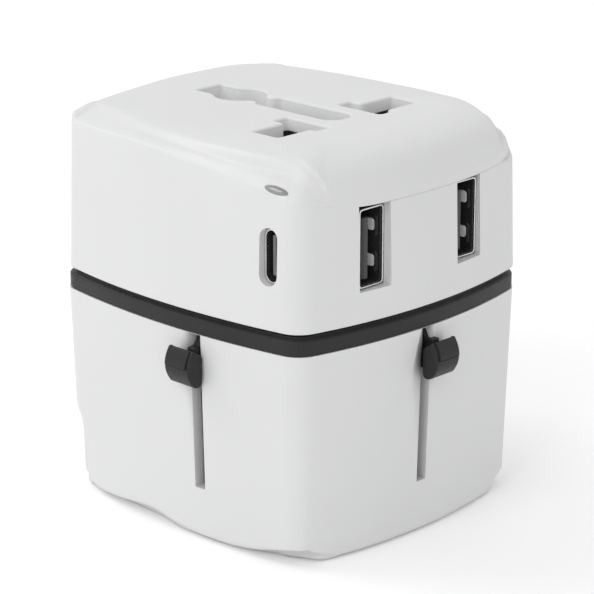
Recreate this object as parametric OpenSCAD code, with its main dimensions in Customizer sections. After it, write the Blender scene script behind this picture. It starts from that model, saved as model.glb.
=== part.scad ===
// Universal travel adapter: a boxy body with bowed faces, a universal socket on top,
// USB charging ports on two faces and three sets of slide-out plug pins in the base.
// Millimetres. +Z up, origin at the centre of the base on the standing plane.
// -Y is the face with the two upright USB-A ports, -X the face with the USB-C port.

/* [Body] */
// Width across the two bowed side faces
body_width = 58.9; // [55:0.1:64]
// Depth across the bowed front and back faces
body_depth = 62.7; // [58:0.1:68]
// Height of the flat of the top above the standing plane
body_height = 67.3; // [64:0.1:72]
// How far the side faces bow out over their length
side_bow = 3.5; // [1:0.1:5]
// How far the front and back faces bow out over their width
front_bow = 4.6; // [1:0.1:6]
// Radius of the four upright corners
corner_radius = 4.7; // [3:0.1:8]
// Thickness of the case walls
wall = 2.0; // [1.5:0.1:2.5]
// Inward lean of the walls away from the belt, per millimetre of height
draft = 0.03; // [0:0.005:0.05]
// Height of the underside of the belt ring
belt_z = 36.0; // [34:0.1:38]
// Height of the belt ring
belt_height = 3.75; // [3:0.05:5]
// Height of the lid seam on the front and back faces
seam_z = 58.6; // [57:0.1:60]
// Height of the lid seam on the back face
back_seam_z = 63.8; // [62:0.1:64.5]
// Height of the foot that steps in below the lower case
foot_height = 2.4; // [2:0.1:3]

/* [Ports] */
// X position of the left USB-A port
usb_a_left_x = -12.0; // [-13:0.1:-11]
// X position of the right USB-A port
usb_a_right_x = 10.4; // [9:0.1:11.5]
// Height of the USB port centres
usb_z = 51.6; // [51:0.1:52]
// Y position of the USB-C port
usb_c_y = -21.8; // [-22.5:0.1:-21]
// Y position of the live and neutral socket holes
socket_y = -10.4; // [-10.6:0.1:-10.2]
// Y position of the earth socket hole
earth_y = 11.8; // [11.5:0.1:12]

/* [Plug slides] */
// How far each plug slides down out of the base
plug_travel = 19.0; // [17:0.1:19]
// Width of the slots the slider knobs run in
slot_width = 2.2; // [2:0.1:2.6]
// Height of the bottom of the slots
slot_bottom = 9.1; // [8.5:0.1:9.2]
// Length of the slider knobs along the wall
knob_length = 5.0; // [4.5:0.1:5.5]
// Height of the slider knobs
knob_height = 6.0; // [5.5:0.1:6.5]
// How far the slider knobs stand out
knob_depth = 3.2; // [2.8:0.1:3.4]

/* [Hidden] */
half_w = body_width / 2;
half_d = body_depth / 2;
belt_top = belt_z + belt_height;
side_r = (half_d * half_d + side_bow * side_bow) / (2 * side_bow);
front_r = (half_w * half_w + front_bow * front_bow) / (2 * front_bow);
side_c = side_r - half_w;
front_c = front_r - half_d;
// centre of the corner arc, tangent inside to the side arc and the front arc
cc_d = sqrt(side_c * side_c + front_c * front_c);
cc_a = (pow(side_r - corner_radius, 2) - pow(front_r - corner_radius, 2) + cc_d * cc_d) / (2 * cc_d);
cc_h = sqrt(pow(side_r - corner_radius, 2) - cc_a * cc_a);
corner_x = -side_c + (cc_a * side_c + cc_h * front_c) / cc_d;
corner_y = (-cc_a * front_c + cc_h * side_c) / cc_d;
turn_1 = atan2(corner_y, corner_x + side_c);
turn_2 = atan2(corner_y + front_c, corner_x);

uk_y = -13.6;
uk_x = 11.1;
uk_earth_y = 8.6;
eu_x = 9.5;
eu_y = -6.8;
us_x = 6.35;
us_y = 0.2;
slide_bottom = 21.8;
slide_top = 26.2;
stem_bottom = 28.6;
stem_top = 32.2;
knob_z = 30.4;
pin_tip = 0.5;
slot_front_x = -0.6;
slot_side_y = -7.0;
slot_back_x = -8.5;
fit = 0.05;
deck_z = 36.6;
deck_top = 38.6;
board_z = 43.2;
board_top = 44.8;
block_top = 57.4;
shutter_z = 59.2;
shutter_top = 60.8;
screw_x = 20.5;
screw_y = 21.5;

quarter = concat([for (i = [0:3]) turn_1 * i / 4],
    [for (i = [0:6]) turn_1 + (turn_2 - turn_1) * i / 6],
    [for (i = [1:3]) turn_2 + (90 - turn_2) * i / 4]);
last = len(quarter) - 1;
angles = concat(quarter, [90], [for (i = [last:-1:1]) 180 - quarter[i]], [180],
    [for (i = [1:last]) 180 + quarter[i]], [270], [for (i = [last:-1:1]) 360 - quarter[i]]);

// point of the body outline at normal angle f, moved in by d
function arc_point(f, d) =
    f <= turn_1 ? [-side_c + (side_r - d) * cos(f), (side_r - d) * sin(f)] :
    f <= turn_2 ? [corner_x + (corner_radius - d) * cos(f), corner_y + (corner_radius - d) * sin(f)] :
    [(front_r - d) * cos(f), -front_c + (front_r - d) * sin(f)];

function fold(f) = f <= 90 ? f : f <= 180 ? 180 - f : f <= 270 ? f - 180 : 360 - f;

// past 3 mm the outline shrinks in proportion, so its corners never fold over
function plan_point(f, d) =
    let (m = min(d, 3), p = arc_point(fold(f), m),
        x = p[0] * (half_w - d) / (half_w - m), y = p[1] * (half_d - d) / (half_d - m))
    [(f > 90 && f < 270) ? -x : x, f > 180 ? -y : y];

function plan(d) = [for (f = angles) plan_point(f, d)];

// one level ring of the body, moved in by d at height z
function ring(d, z) = [for (p = plan(d)) [p[0], p[1], z]];

function smooth(t) = let (u = min(1, max(0, t))) u * u * (3 - 2 * u);

// 1 on the side faces, 0 on the front and back faces
function sideness(f) = smooth((abs(cos(f)) - 0.5) / 0.25);

// height of the lid seam: level on the front and the back, rising with the scooped wings on the sides
function wing_z(y) = lookup(y, [[-28, 60.4], [-20.5, 62.2], [-8, 64.1], [0, 64.8], [9, 65.3], [26, 65.6]]);
function level_seam(f) = sin(f) > 0 ? back_seam_z : seam_z;
function seam_at(f) = let (p = plan_point(f, 0), s = sideness(f), z = level_seam(f)) z + s * (wing_z(p[1]) - z);
function lean(z) = z > belt_top ? draft * (z - belt_top) : draft * max(0, belt_z - z);

// lid level k of 1: k = 0 at the seam, 1 at the edge of the flat top
function lid_d(f, k) =
    let (s = sideness(f), y = plan_point(f, 0)[1],
        roll = 0.6 + (y > 0 ? 3.6 : 7.4) * (1 - cos(90 * k)),
        wing = 0.8 + lookup(y, [[-28, 3.2], [-16, 2.2], [0, 2.6], [16, 2.8], [26, 2.0]]) * smooth(k * 1.15))
    roll + s * (wing - roll);
function lid_z(f, k) = let (z = seam_at(f), s = sideness(f))
    z + (body_height - 0.6 - z) * ((1 - s) * sin(90 * k) + s * k);
function lid_ring(k) = [for (f = angles) let (p = plan_point(f, lid_d(f, k))) [p[0], p[1], lid_z(f, k)]];

// side skin between two neighbouring rings of n points that start at a and b
function skin(a, b, n) = [for (i = [0:n - 1]) let (j = (i + 1) % n)
    each [[a + i, b + i, b + j], [a + i, b + j, a + j]]];

// open-bottomed shell from rings that run up the outside and up the inside, both with flat tops
module cup(outer, inner) {
    n = len(outer[0]);
    m = len(outer);
    w = len(inner);
    polyhedron(
        points = [for (r = concat(outer, inner)) each r],
        faces = concat(
            [for (k = [0:m - 2]) each skin(k * n, (k + 1) * n, n)],
            [[for (i = [n - 1:-1:0]) (m - 1) * n + i]],
            [for (k = [0:w - 2]) each skin((m + k + 1) * n, (m + k) * n, n)],
            [[for (i = [0:n - 1]) (m + w - 1) * n + i]],
            skin(m * n, 0, n)));
}

// closed tube whose section is the loop of rings
module loop_loft(rings) {
    n = len(rings[0]);
    m = len(rings);
    polyhedron(
        points = [for (r = rings) each r],
        faces = [for (k = [0:m - 1]) each skin(k * n, ((k + 1) % m) * n, n)]);
}

module stadium(length, width) {
    square([length - width, width], center = true);
    for (s = [-1, 1])
        translate([s * (length - width) / 2, 0])
            circle(d = width, $fn = 48);
}

module box(x0, x1, y0, y1, z0, z1) {
    translate([x0, y0, z0])
        cube([x1 - x0, y1 - y0, z1 - z0]);
}

// the hole for one live or neutral pin: wide flat pins, round pins and thin blades
module pole_hole_2d() {
    translate([-11.3, socket_y])
        square([10.4, 5.6], center = true);
    translate([-7.6, socket_y + 0.6])
        square([3.0, 9.4], center = true);
}

// the earth hole with its long guide slot
module earth_hole_2d() {
    translate([-2.9, earth_y - 3.3])
        square([5.8, 11.1]);
    translate([0, earth_y])
        circle(r = 4.4, $fn = 48);
    translate([-1.7, 4])
        square([3.4, 5]);
    polygon([[-2.9, 6], [-2.9, -10.6], [-1.4, -12.2], [1.4, -12.2], [2.9, -10.6], [2.9, 6]]);
}

module top_cover() {
    color("white")
    difference() {
        cup(concat([for (k = [0:5]) lid_ring(k / 5)], [ring(9, body_height)]),
            [[for (f = angles) let (p = plan_point(f, 3.0)) [p[0], p[1], seam_at(f)]],
                ring(4.6, 63.0), ring(9.6, 65.2)]);
        translate([0, 0, 60])
            linear_extrude(10) {
                pole_hole_2d();
                mirror([1, 0])
                    pole_hole_2d();
                earth_hole_2d();
            }
        // seat of the indicator lens
        translate([-30, -22.9, 62.9])
            rotate([0, 90, 0])
                linear_extrude(9)
                    rotate(90)
                        stadium(4.7, 1.5);
    }
}

// insulating guide that carries the socket holes on down below the lid
module socket_collar() {
    color("darkslategray")
    translate([0, 0, 61.2])
        linear_extrude(3.9)
            difference() {
                translate([-18, -16.2])
                    square([36, 37.4]);
                pole_hole_2d();
                mirror([1, 0])
                    pole_hole_2d();
                earth_hole_2d();
            }
}

module upper_housing() {
    color("white")
    difference() {
        loop_loft([ring(0, belt_top + 0.5), ring(lean(57), 57),
            [for (f = angles) let (p = plan_point(f, lean(seam_at(f)) + 0.02)) [p[0], p[1], seam_at(f) - 0.08]],
            [for (f = angles) let (p = plan_point(f, wall + 0.9)) [p[0], p[1], seam_at(f) - 0.08]],
            ring(wall + 0.8, 57), ring(wall + 0.3, belt_top)]);
        for (x = [usb_a_left_x, usb_a_right_x])
            box(x - 3.25, x + 3.25, -40, -24, usb_z - 6.8, usb_z + 6.8);
        translate([-34, usb_c_y, usb_z])
            rotate([0, 90, 0])
                linear_extrude(12)
                    stadium(9.5, 3.7);
    }
}

module belt_ring() {
    color("dimgray")
    difference() {
        union() {
            translate([0, 0, belt_z])
                linear_extrude(belt_height - 0.7)
                    polygon(plan(0.15));
            translate([0, 0, belt_z])
                linear_extrude(belt_height)
                    polygon(plan(0.75));
        }
        translate([0, 0, belt_z - 1])
            linear_extrude(belt_height + 2)
                polygon(plan(2.35));
    }
}

module lower_shell() {
    color("white") {
        difference() {
            loop_loft([ring(lean(3.3) + 0.7, foot_height + 0.1), ring(lean(3.3), 3.3), ring(0.05, belt_z),
                ring(wall + 0.2, belt_z), ring(lean(3.3) + wall, foot_height + 0.1)]);
            box(slot_front_x - slot_width / 2, slot_front_x + slot_width / 2, -40, -20, slot_bottom, 40);
            box(slot_back_x - slot_width / 2, slot_back_x + slot_width / 2, 20, 40, slot_bottom, 40);
            box(-40, -20, slot_side_y - slot_width / 2, slot_side_y + slot_width / 2, slot_bottom, 40);
        }
        for (x = [0, 1])
            for (y = [0, 1])
                mirror([x, 0])
                    mirror([0, y])
                        translate([screw_x, screw_y, foot_height + 0.1])
                            screw_post();
    }
}

module screw_post() {
    difference() {
        union() {
            cylinder(d = 5.6, h = deck_z - foot_height - 0.1, $fn = 48);
            rotate(46)
                translate([2, -0.7, 0])
                    cube([4.9, 1.4, 30]);
        }
        translate([0, 0, -1])
            cylinder(d = 2.7, h = deck_z, $fn = 48);
    }
}

module base_plate() {
    color("white")
    difference() {
        union() {
            translate([0, -0.9, 0.5])
                linear_extrude(foot_height - 0.5)
                    polygon(plan(2.0));
            translate([0, -0.9, 0])
                linear_extrude(foot_height)
                    polygon(plan(2.5));
        }
        for (s = [-1, 1]) {
            box(s * uk_x - 3.4, s * uk_x + 3.4, uk_y - 2.2, uk_y + 2.2, -1, 5);
            translate([s * eu_x, eu_y, -1])
                cylinder(r = 2.3, h = 5, $fn = 48);
            translate([s * us_x, us_y, -1])
                cylinder(r = 3.5, h = 5, $fn = 48);
        }
        box(-2.2, 2.2, uk_earth_y - 4.2, uk_earth_y + 4.2, -1, 5);
        for (x = [-1, 1])
            for (y = [-1, 1])
                translate([x * screw_x, y * screw_y, 0]) {
                    translate([0, 0, -1])
                        cylinder(d = 5.0, h = 2.2, $fn = 48);
                    translate([0, 0, -1])
                        cylinder(d = 2.8, h = 5, $fn = 48);
                }
    }
}

module mid_deck() {
    color("darkslategray") {
        difference() {
            translate([0, 0, deck_z])
                linear_extrude(deck_top - deck_z)
                    polygon(plan(2.4));
            for (x = [-1, 1])
                for (y = [-1, 1])
                    translate([x * screw_x, y * screw_y, deck_z - 1])
                        cylinder(d = 2.2, h = 4, $fn = 48);
            box(-21.1, -20.1, 12.9, 17.1, 30, 45);
            box(22.9, 23.9, 12.9, 17.1, 30, 45);
            box(7.9, 12.1, 21.9, 22.9, 30, 45);
        }
        for (p = [[-22, -15], [22, -15], [-6, -25], [4, -25], [-22, 8], [22, 5]])
            translate([p[0], p[1], deck_top])
                cylinder(d = 3.4, h = board_z - deck_top, $fn = 48);
    }
}

module socket_block() {
    color("darkslategray")
    difference() {
        box(-17.6, 17.6, -14.8, 20.6, deck_top, block_top);
        for (s = [-1, 1])
            box(s * 11.3 - 5, s * 11.3 + 5, socket_y - 3.4, socket_y + 3.4, 42, 70);
        box(-4.6, 4.6, earth_y - 4.8, earth_y + 7.6, 42, 70);
        box(-3, 3, -6, 4, 52, 70);
    }
}

// a pair of sprung leaves standing on a foot
module contact_pair(width, gap, height) {
    difference() {
        box(-gap / 2 - 0.5, gap / 2 + 0.5, -width / 2, width / 2, 0, height);
        box(-gap / 2, gap / 2, -width, width, 0.6, height + 1);
    }
}

module line_contact() {
    color("goldenrod")
        translate([-11.3, socket_y, 42])
            rotate(90)
                contact_pair(9.2, 4.2, 12);
}

module neutral_contact() {
    color("goldenrod")
        translate([11.3, socket_y, 42])
            rotate(90)
                contact_pair(9.2, 4.2, 12);
}

module earth_contact() {
    color("goldenrod")
        translate([0, earth_y + 1.2, 42])
            contact_pair(9.6, 4.6, 12.5);
}

module line_bus() {
    color("goldenrod") {
        box(-21, -20.2, 13, 17, 8, 40);
        box(-20.2, -17.8, 13, 17, 39.2, 40);
    }
}

module neutral_bus() {
    color("goldenrod") {
        box(23, 23.8, 13, 17, 8, 40);
        box(17.8, 23, 13, 17, 39.2, 40);
    }
}

module earth_bus() {
    color("goldenrod") {
        box(8, 12, 22, 22.8, 8, 40);
        box(8, 12, 20.8, 22, 39.2, 40);
    }
}

module safety_shutter() {
    color("dimgray")
    translate([0, 0, shutter_z])
        linear_extrude(shutter_top - shutter_z)
            difference() {
                translate([-17, -14.6])
                    square([34, 17.6]);
                translate([0, -4.6])
                    square([7.4, 14.8], center = true);
                for (s = [-1, 1])
                    translate([s * 11.3, -1.6])
                        square([9, 4.6], center = true);
            }
}

module shutter_spring() {
    color("silver")
        for (i = [0:5])
            translate([10, 3.3 + i * 1.4, 59.3])
                rotate([-90, 0, 0])
                    rotate_extrude($fn = 48)
                        translate([1.2, 0.35])
                            circle(r = 0.25, $fn = 12);
}

module usb_a_shell(x) {
    translate([x, -29.4, usb_z])
    difference() {
        box(-2.85, 2.85, 0, 13.9, -6.55, 6.55);
        box(-2.55, 2.55, -1, 13.6, -6.25, 6.25);
        for (s = [-1, 1])
            for (z = [-3.6, 2.0])
                box(s * 3 - 1, s * 3 + 1, 2.2, 5.4, z - 0.9, z + 0.9);
    }
}

module usb_a_tongue(x) {
    translate([x, -29.4, usb_z]) {
        box(-2.2, -0.4, 2.0, 8.9, -5.6, 5.6);
        box(-2.5, 2.5, 8.9, 13.5, -6.2, 6.2);
    }
}

module usb_a_contacts(x) {
    for (z = [-3.5, -1.0, 1.0, 3.5])
        translate([x, -29.4, usb_z + z])
            box(-0.38, -0.18, 2.6, 8.8, -0.5, 0.5);
}

module usb_a_shell_left() {
    color("silver")
        usb_a_shell(usb_a_left_x);
}

module usb_a_tongue_left() {
    color("black")
        usb_a_tongue(usb_a_left_x);
}

module usb_a_contacts_left() {
    color("gold")
        usb_a_contacts(usb_a_left_x);
}

module usb_a_shell_right() {
    color("silver")
        usb_a_shell(usb_a_right_x);
}

module usb_a_tongue_right() {
    color("black")
        usb_a_tongue(usb_a_right_x);
}

module usb_a_contacts_right() {
    color("gold")
        usb_a_contacts(usb_a_right_x);
}

module usb_c_shell() {
    color("silver")
    translate([-26.6, usb_c_y, usb_z])
        rotate([0, 90, 0])
            difference() {
                linear_extrude(7.3)
                    stadium(8.94, 3.16);
                translate([0, 0, -1])
                    linear_extrude(8)
                        stadium(8.34, 2.56);
            }
}

module usb_c_tongue() {
    color("black") {
        box(-25.6, -21.2, usb_c_y - 0.35, usb_c_y + 0.35, usb_z - 3.3, usb_z + 3.3);
        translate([-21.2, usb_c_y, usb_z])
            rotate([0, 90, 0])
                linear_extrude(1.6)
                    stadium(8.24, 2.46);
    }
}

module usb_c_board() {
    color("darkgreen")
        box(-19.2, -18.2, usb_c_y - 4.2, usb_c_y + 4.2, board_top, usb_z + 5.6);
}

module led_lens() {
    color("lightgray")
        translate([-26.7, -22.9, 62.9])
            rotate([0, 90, 0])
                linear_extrude(3.3)
                    rotate(90)
                        stadium(4.6, 1.4);
}

module indicator_led() {
    color("lightgreen")
        box(-22.6, -21.0, -23.6, -21.8, 61.4, 62.6);
}

// the board keeps to a strip around the socket block
module charger_board() {
    color("darkgreen")
        translate([0, 0, board_z])
            linear_extrude(board_top - board_z)
                difference() {
                    polygon(plan(3.4));
                    translate([-17.8, -15.1])
                        square([35.6, 60]);
                    translate([-40, 18.5])
                        square([80, 20]);
                }
}

module transformer_core() {
    color("dimgray")
    difference() {
        box(15.0, 23.4, -24.6, -16.0, board_top, 55.8);
        box(16.4, 22.0, -30, -10, board_top + 1.6, 54.2);
    }
}

module transformer_winding() {
    color("goldenrod")
    translate([19.2, -20.3, 50.3])
        rotate([90, 0, 0])
            cylinder(r = 2.7, h = 8.2, center = true, $fn = 48);
}

module bulk_capacitor() {
    color("black")
    translate([-22.0, 5.2, board_top + 4.0])
        rotate([90, 0, 0])
            cylinder(r = 3.95, h = 12, $fn = 64);
}

module choke() {
    color("dimgray")
    translate([-22.0, 11.5, board_top])
        cylinder(r = 3.4, h = 8, $fn = 48);
}

module fuse_body() {
    color("ivory")
    translate([22.2, 9.0, board_top + 3.2])
        rotate([90, 0, 0])
            cylinder(r = 2.5, h = 10, $fn = 48);
}

module fuse_caps() {
    color("silver")
        for (y = [-1.0, 14.0])
            translate([22.2, y, board_top + 3.2])
                rotate([90, 0, 0])
                    cylinder(r = 2.6, h = 5, $fn = 48);
}

module fuse_clips() {
    color("silver")
        for (y = [-3.5, 11.5])
            translate([22.2, y, board_top]) {
                box(-3.2, 3.2, -1.6, 1.6, 0, 0.5);
                for (s = [-1, 1])
                    box(s * 2.95 - 0.25, s * 2.95 + 0.25, -1.6, 1.6, 0.5, 5.4);
            }
}

module case_screws() {
    color("silver")
        for (x = [-1, 1])
            for (y = [-1, 1])
                translate([x * screw_x, y * screw_y, 0])
                    difference() {
                        union() {
                            translate([0, 0, 0.2])
                                cylinder(d = 4.8, h = 1.0, $fn = 48);
                            cylinder(d = 2.1, h = deck_z + 1.8, $fn = 48);
                        }
                        for (t = [0, 90])
                            rotate(t)
                                box(-1.4, 1.4, -0.35, 0.35, -1, 0.8);
                    }
}

// half-round thumb piece: flat side at x = 0, standing out along -X, centred on z = 0
module knob_2d() {
    r = (knob_height * knob_height / 4 + knob_depth * knob_depth) / (2 * knob_depth);
    intersection() {
        translate([r - knob_depth, 0])
            circle(r = r, $fn = 96);
        translate([-10, -knob_height / 2])
            square([10, knob_height]);
    }
}

module knob(shift) {
    difference() {
        translate([0, shift + knob_length / 2, 0])
            rotate([90, 0, 0])
                linear_extrude(knob_length)
                    knob_2d();
        // grip line across the front
        box(-4, -knob_depth + 0.22, shift - 4, shift + 4, 0.05, 0.4);
    }
    // neck through the slot
    box(0, 2.0, -slot_width / 2 + 0.25, slot_width / 2 - 0.25, stem_bottom - knob_z, stem_top - knob_z);
}

module uk_carriage() {
    color("gray")
    difference() {
        union() {
            box(-15.4, 21.0, uk_y - 2.8, uk_y + 2.8, slide_bottom, slide_top);
            box(17.2, 21.0, uk_y - 2.8, 12.6, slide_bottom, slide_top);
            box(4.0, 21.0, 9.4, 12.6, slide_bottom, slide_top);
            box(-4.0, 4.0, uk_earth_y - 4.6, uk_earth_y + 4.6, slide_bottom, slide_top);
            box(slot_front_x - 3, slot_front_x + 3, -27.8, uk_y, slide_bottom, slide_top);
            box(slot_front_x - 3, slot_front_x + 3, -27.8, -24.2, slide_bottom, stem_top);
            box(slot_front_x - 0.8, slot_front_x + 0.8, -29.5, -27.8, stem_bottom, stem_top);
        }
        for (s = [-1, 1])
            box(s * uk_x - 3.2, s * uk_x + 3.2, uk_y - 2.02, uk_y + 2.02, 20, 30);
        box(-2.02, 2.02, uk_earth_y - 4.02, uk_earth_y + 4.02, 20, 30);
    }
}

// flat plug pin with a bevelled tip
module flat_pin(w, t, top) {
    difference() {
        box(-w / 2, w / 2, -t / 2, t / 2, pin_tip, top);
        for (s = [-1, 1])
            translate([0, s * t / 2, pin_tip])
                rotate([45, 0, 0])
                    cube([w + 1, 0.9, 0.9], center = true);
    }
}

module uk_line_pin() {
    color("goldenrod")
        translate([-uk_x, uk_y, 0])
            flat_pin(6.35, 4.0, 28.5);
}

module uk_neutral_pin() {
    color("goldenrod")
        translate([uk_x, uk_y, 0])
            flat_pin(6.35, 4.0, 28.5);
}

module uk_earth_pin() {
    color("goldenrod")
        translate([0, uk_earth_y, 0])
            rotate(90)
                flat_pin(8.0, 4.0, 28.5);
}

module uk_knob() {
    color("dimgray")
        translate([slot_front_x, -31.5, knob_z])
            rotate(90)
                knob(-1.6);
}

module eu_carriage() {
    color("gray")
    difference() {
        union() {
            box(-13.4, 13.4, eu_y - 3.0, eu_y + 3.0, slide_bottom, slide_top);
            box(-25.6, -13.4, eu_y - 3.0, eu_y + 2.4, slide_bottom, slide_top);
            box(-25.6, -22.4, eu_y - 3.0, eu_y + 2.4, slide_bottom, stem_top);
            box(-27.5, -25.6, slot_side_y - 0.8, slot_side_y + 0.8, stem_bottom, stem_top);
        }
        for (s = [-1, 1])
            translate([s * eu_x, eu_y, 20])
                cylinder(r = 2.02, h = 10, $fn = 48);
    }
}

module round_pin() {
    translate([0, 0, pin_tip + 1])
        cylinder(r = 2.0, h = 27.0, $fn = 48);
    translate([0, 0, pin_tip])
        cylinder(r1 = 1.2, r2 = 2.0, h = 1, $fn = 48);
}

module eu_pin_left() {
    color("silver")
        translate([-eu_x, eu_y, 0])
            round_pin();
}

module eu_pin_right() {
    color("silver")
        translate([eu_x, eu_y, 0])
            round_pin();
}

module eu_knob() {
    color("dimgray")
        translate([-29.5, slot_side_y, knob_z])
            knob(1.2);
}

module us_carriage() {
    color("gray")
    difference() {
        union() {
            box(-11.0, 11.0, us_y - 3.1, us_y + 3.1, slide_bottom, slide_top);
            box(slot_back_x - 2.4, slot_back_x + 2.4, us_y, 27.2, slide_bottom, slide_top);
            box(slot_back_x - 2.4, slot_back_x + 2.4, 24.2, 27.2, slide_bottom, stem_top);
            box(slot_back_x - 0.8, slot_back_x + 0.8, 27.2, 29.2, stem_bottom, stem_top);
        }
        for (s = [-1, 1])
            translate([s * us_x, us_y, 20])
                cylinder(r = 2.5 + fit, h = 10, $fn = 48);
    }
}

module us_blade() {
    // blade, bevelled at the tip
    difference() {
        box(-0.75, 0.75, -3.15, 3.15, pin_tip, slide_bottom - 0.8);
        for (s = [-1, 1])
            translate([0, s * 3.15, pin_tip])
                rotate([45, 0, 0])
                    cube([3, 1.2, 1.2], center = true);
    }
    translate([0, 0, slide_bottom - 0.8])
        cylinder(r = 3.0, h = 0.7, $fn = 48);
    translate([0, 0, slide_bottom - 0.1])
        cylinder(r = 2.5, h = slide_top - slide_bottom + 0.3, $fn = 48);
    translate([0, 0, slide_top + 0.2])
        cylinder(r = 2.95, h = 0.7, $fn = 48);
}

module us_blade_left() {
    color("silver")
        translate([-us_x, us_y, 0])
            us_blade();
}

module us_blade_right() {
    color("silver")
        translate([us_x, us_y, 0])
            us_blade();
}

module us_knob() {
    color("dimgray")
        translate([slot_back_x, 31.2, knob_z])
            rotate(-90)
                knob(1.2);
}

top_cover();
socket_collar();
upper_housing();
belt_ring();
lower_shell();
base_plate();
mid_deck();
socket_block();
line_contact();
neutral_contact();
earth_contact();
line_bus();
neutral_bus();
earth_bus();
safety_shutter();
shutter_spring();
usb_a_shell_left();
usb_a_tongue_left();
usb_a_contacts_left();
usb_a_shell_right();
usb_a_tongue_right();
usb_a_contacts_right();
usb_c_shell();
usb_c_tongue();
usb_c_board();
led_lens();
indicator_led();
charger_board();
transformer_core();
transformer_winding();
bulk_capacitor();
choke();
fuse_body();
fuse_caps();
fuse_clips();
case_screws();
uk_carriage();
uk_line_pin();
uk_neutral_pin();
uk_earth_pin();
uk_knob();
eu_carriage();
eu_pin_left();
eu_pin_right();
eu_knob();
us_carriage();
us_blade_left();
us_blade_right();
us_knob();
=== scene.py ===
import math
from bisect import bisect

import bmesh
import bpy
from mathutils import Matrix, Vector
from mathutils.bvhtree import BVHTree
from mathutils.geometry import delaunay_2d_cdt


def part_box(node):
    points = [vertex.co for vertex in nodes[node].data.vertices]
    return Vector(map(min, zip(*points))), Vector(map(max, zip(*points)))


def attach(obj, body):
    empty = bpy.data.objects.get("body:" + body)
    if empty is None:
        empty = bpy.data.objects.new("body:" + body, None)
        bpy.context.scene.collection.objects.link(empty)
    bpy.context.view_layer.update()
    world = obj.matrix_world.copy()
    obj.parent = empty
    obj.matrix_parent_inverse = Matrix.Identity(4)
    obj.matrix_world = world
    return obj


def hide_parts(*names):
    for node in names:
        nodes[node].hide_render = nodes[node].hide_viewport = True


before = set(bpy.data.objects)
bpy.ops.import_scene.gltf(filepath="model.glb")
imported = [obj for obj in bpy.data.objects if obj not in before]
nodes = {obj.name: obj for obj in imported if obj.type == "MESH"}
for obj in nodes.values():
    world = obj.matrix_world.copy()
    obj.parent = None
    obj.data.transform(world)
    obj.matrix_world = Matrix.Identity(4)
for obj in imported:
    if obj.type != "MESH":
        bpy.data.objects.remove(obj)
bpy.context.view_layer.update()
MM = 0.001


def box_mm(node):
    """Lowest and highest corner of a CAD node, in millimetres."""
    low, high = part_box(node)
    return low / MM, high / MM


# ---- body outline (millimetres)
TOP_Z = box_mm("top_cover")[1].z
HALF_W, HALF_D = box_mm("upper_housing")[1].xy
SIDE_BOW, FRONT_BOW, CORNER_R = 3.5, 4.6, 4.7
SIDE_R = (HALF_D ** 2 + SIDE_BOW ** 2) / (2 * SIDE_BOW)
FRONT_R = (HALF_W ** 2 + FRONT_BOW ** 2) / (2 * FRONT_BOW)
SIDE_C, FRONT_C = SIDE_R - HALF_W, FRONT_R - HALF_D
# the corner arc's centre lies where the side arc and the front arc cross once both are drawn in
CENTRES = math.hypot(SIDE_C, FRONT_C)
ALONG = ((SIDE_R - CORNER_R) ** 2 - (FRONT_R - CORNER_R) ** 2 + CENTRES * CENTRES) / (2 * CENTRES)
ACROSS = math.sqrt((SIDE_R - CORNER_R) ** 2 - ALONG * ALONG)
CORNER_X = -SIDE_C + (ALONG * SIDE_C + ACROSS * FRONT_C) / CENTRES
CORNER_Y = (-ALONG * FRONT_C + ACROSS * SIDE_C) / CENTRES
TURN_1 = math.degrees(math.atan2(CORNER_Y, CORNER_X + SIDE_C))
TURN_2 = math.degrees(math.atan2(CORNER_Y + FRONT_C, CORNER_X))
ARC_1 = math.radians(TURN_1) * SIDE_R
ARC_2 = ARC_1 + math.radians(TURN_2 - TURN_1) * CORNER_R
QUARTER = ARC_2 + math.radians(90 - TURN_2) * FRONT_R
ARCS, TURNS = (0, ARC_1, ARC_2, QUARTER), (0, TURN_1, TURN_2, 90)
DRAFT = 0.03
BELT_Z, BELT_TOP = (corner.z for corner in box_mm("belt_ring"))
BELT_EDGE = BELT_TOP - 0.62
FLAT_D = 3.0


def quarter_point(f, d):
    """Outline point of the +X +Y quarter at normal angle f, moved in by d."""
    a = math.radians(f)
    x, y, r = ((-SIDE_C, 0, SIDE_R) if f <= TURN_1 else
               (CORNER_X, CORNER_Y, CORNER_R) if f <= TURN_2 else (0, -FRONT_C, FRONT_R))
    return x + (r - d) * math.cos(a), y + (r - d) * math.sin(a)


def fold(f):
    """The angle's mirror image in the +X +Y quarter."""
    f %= 360
    return f if f <= 90 else 180 - f if f <= 180 else f - 180 if f <= 270 else 360 - f


def outline(f, d):
    """Outline point at normal angle f; deeper than FLAT_D it shrinks in proportion."""
    m = min(d, FLAT_D)
    x, y = quarter_point(fold(f), m)
    x *= (HALF_W - d) / (HALF_W - m)
    y *= (HALF_D - d) / (HALF_D - m)
    f %= 360
    return (-x if 90 < f < 270 else x), (-y if f > 180 else y)


def lerp(a, b, t):
    return a + (b - a) * t


def convert(x, xs, ys):
    """Straight-line conversion of x between two rows of knots."""
    k = max(0, min(len(xs) - 2, bisect(xs, x) - 1))
    return lerp(ys[k], ys[k + 1], (x - xs[k]) / (xs[k + 1] - xs[k]))


def angle_at(s):
    """Normal angle at arc length s along the outline, from +X towards +Y."""
    s %= 4 * QUARTER
    k, r = int(s // QUARTER), s % QUARTER
    f = convert(QUARTER - r if k % 2 else r, ARCS, TURNS)
    return [f, 180 - f, 180 + f, 360 - f][k]


def arc_of(f):
    """Arc length at normal angle f: the reverse of angle_at."""
    r = convert(fold(f), TURNS, ARCS)
    return [r, 2 * QUARTER - r, 2 * QUARTER + r, 4 * QUARTER - r][min(3, int(f % 360 // 90))]


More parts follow.
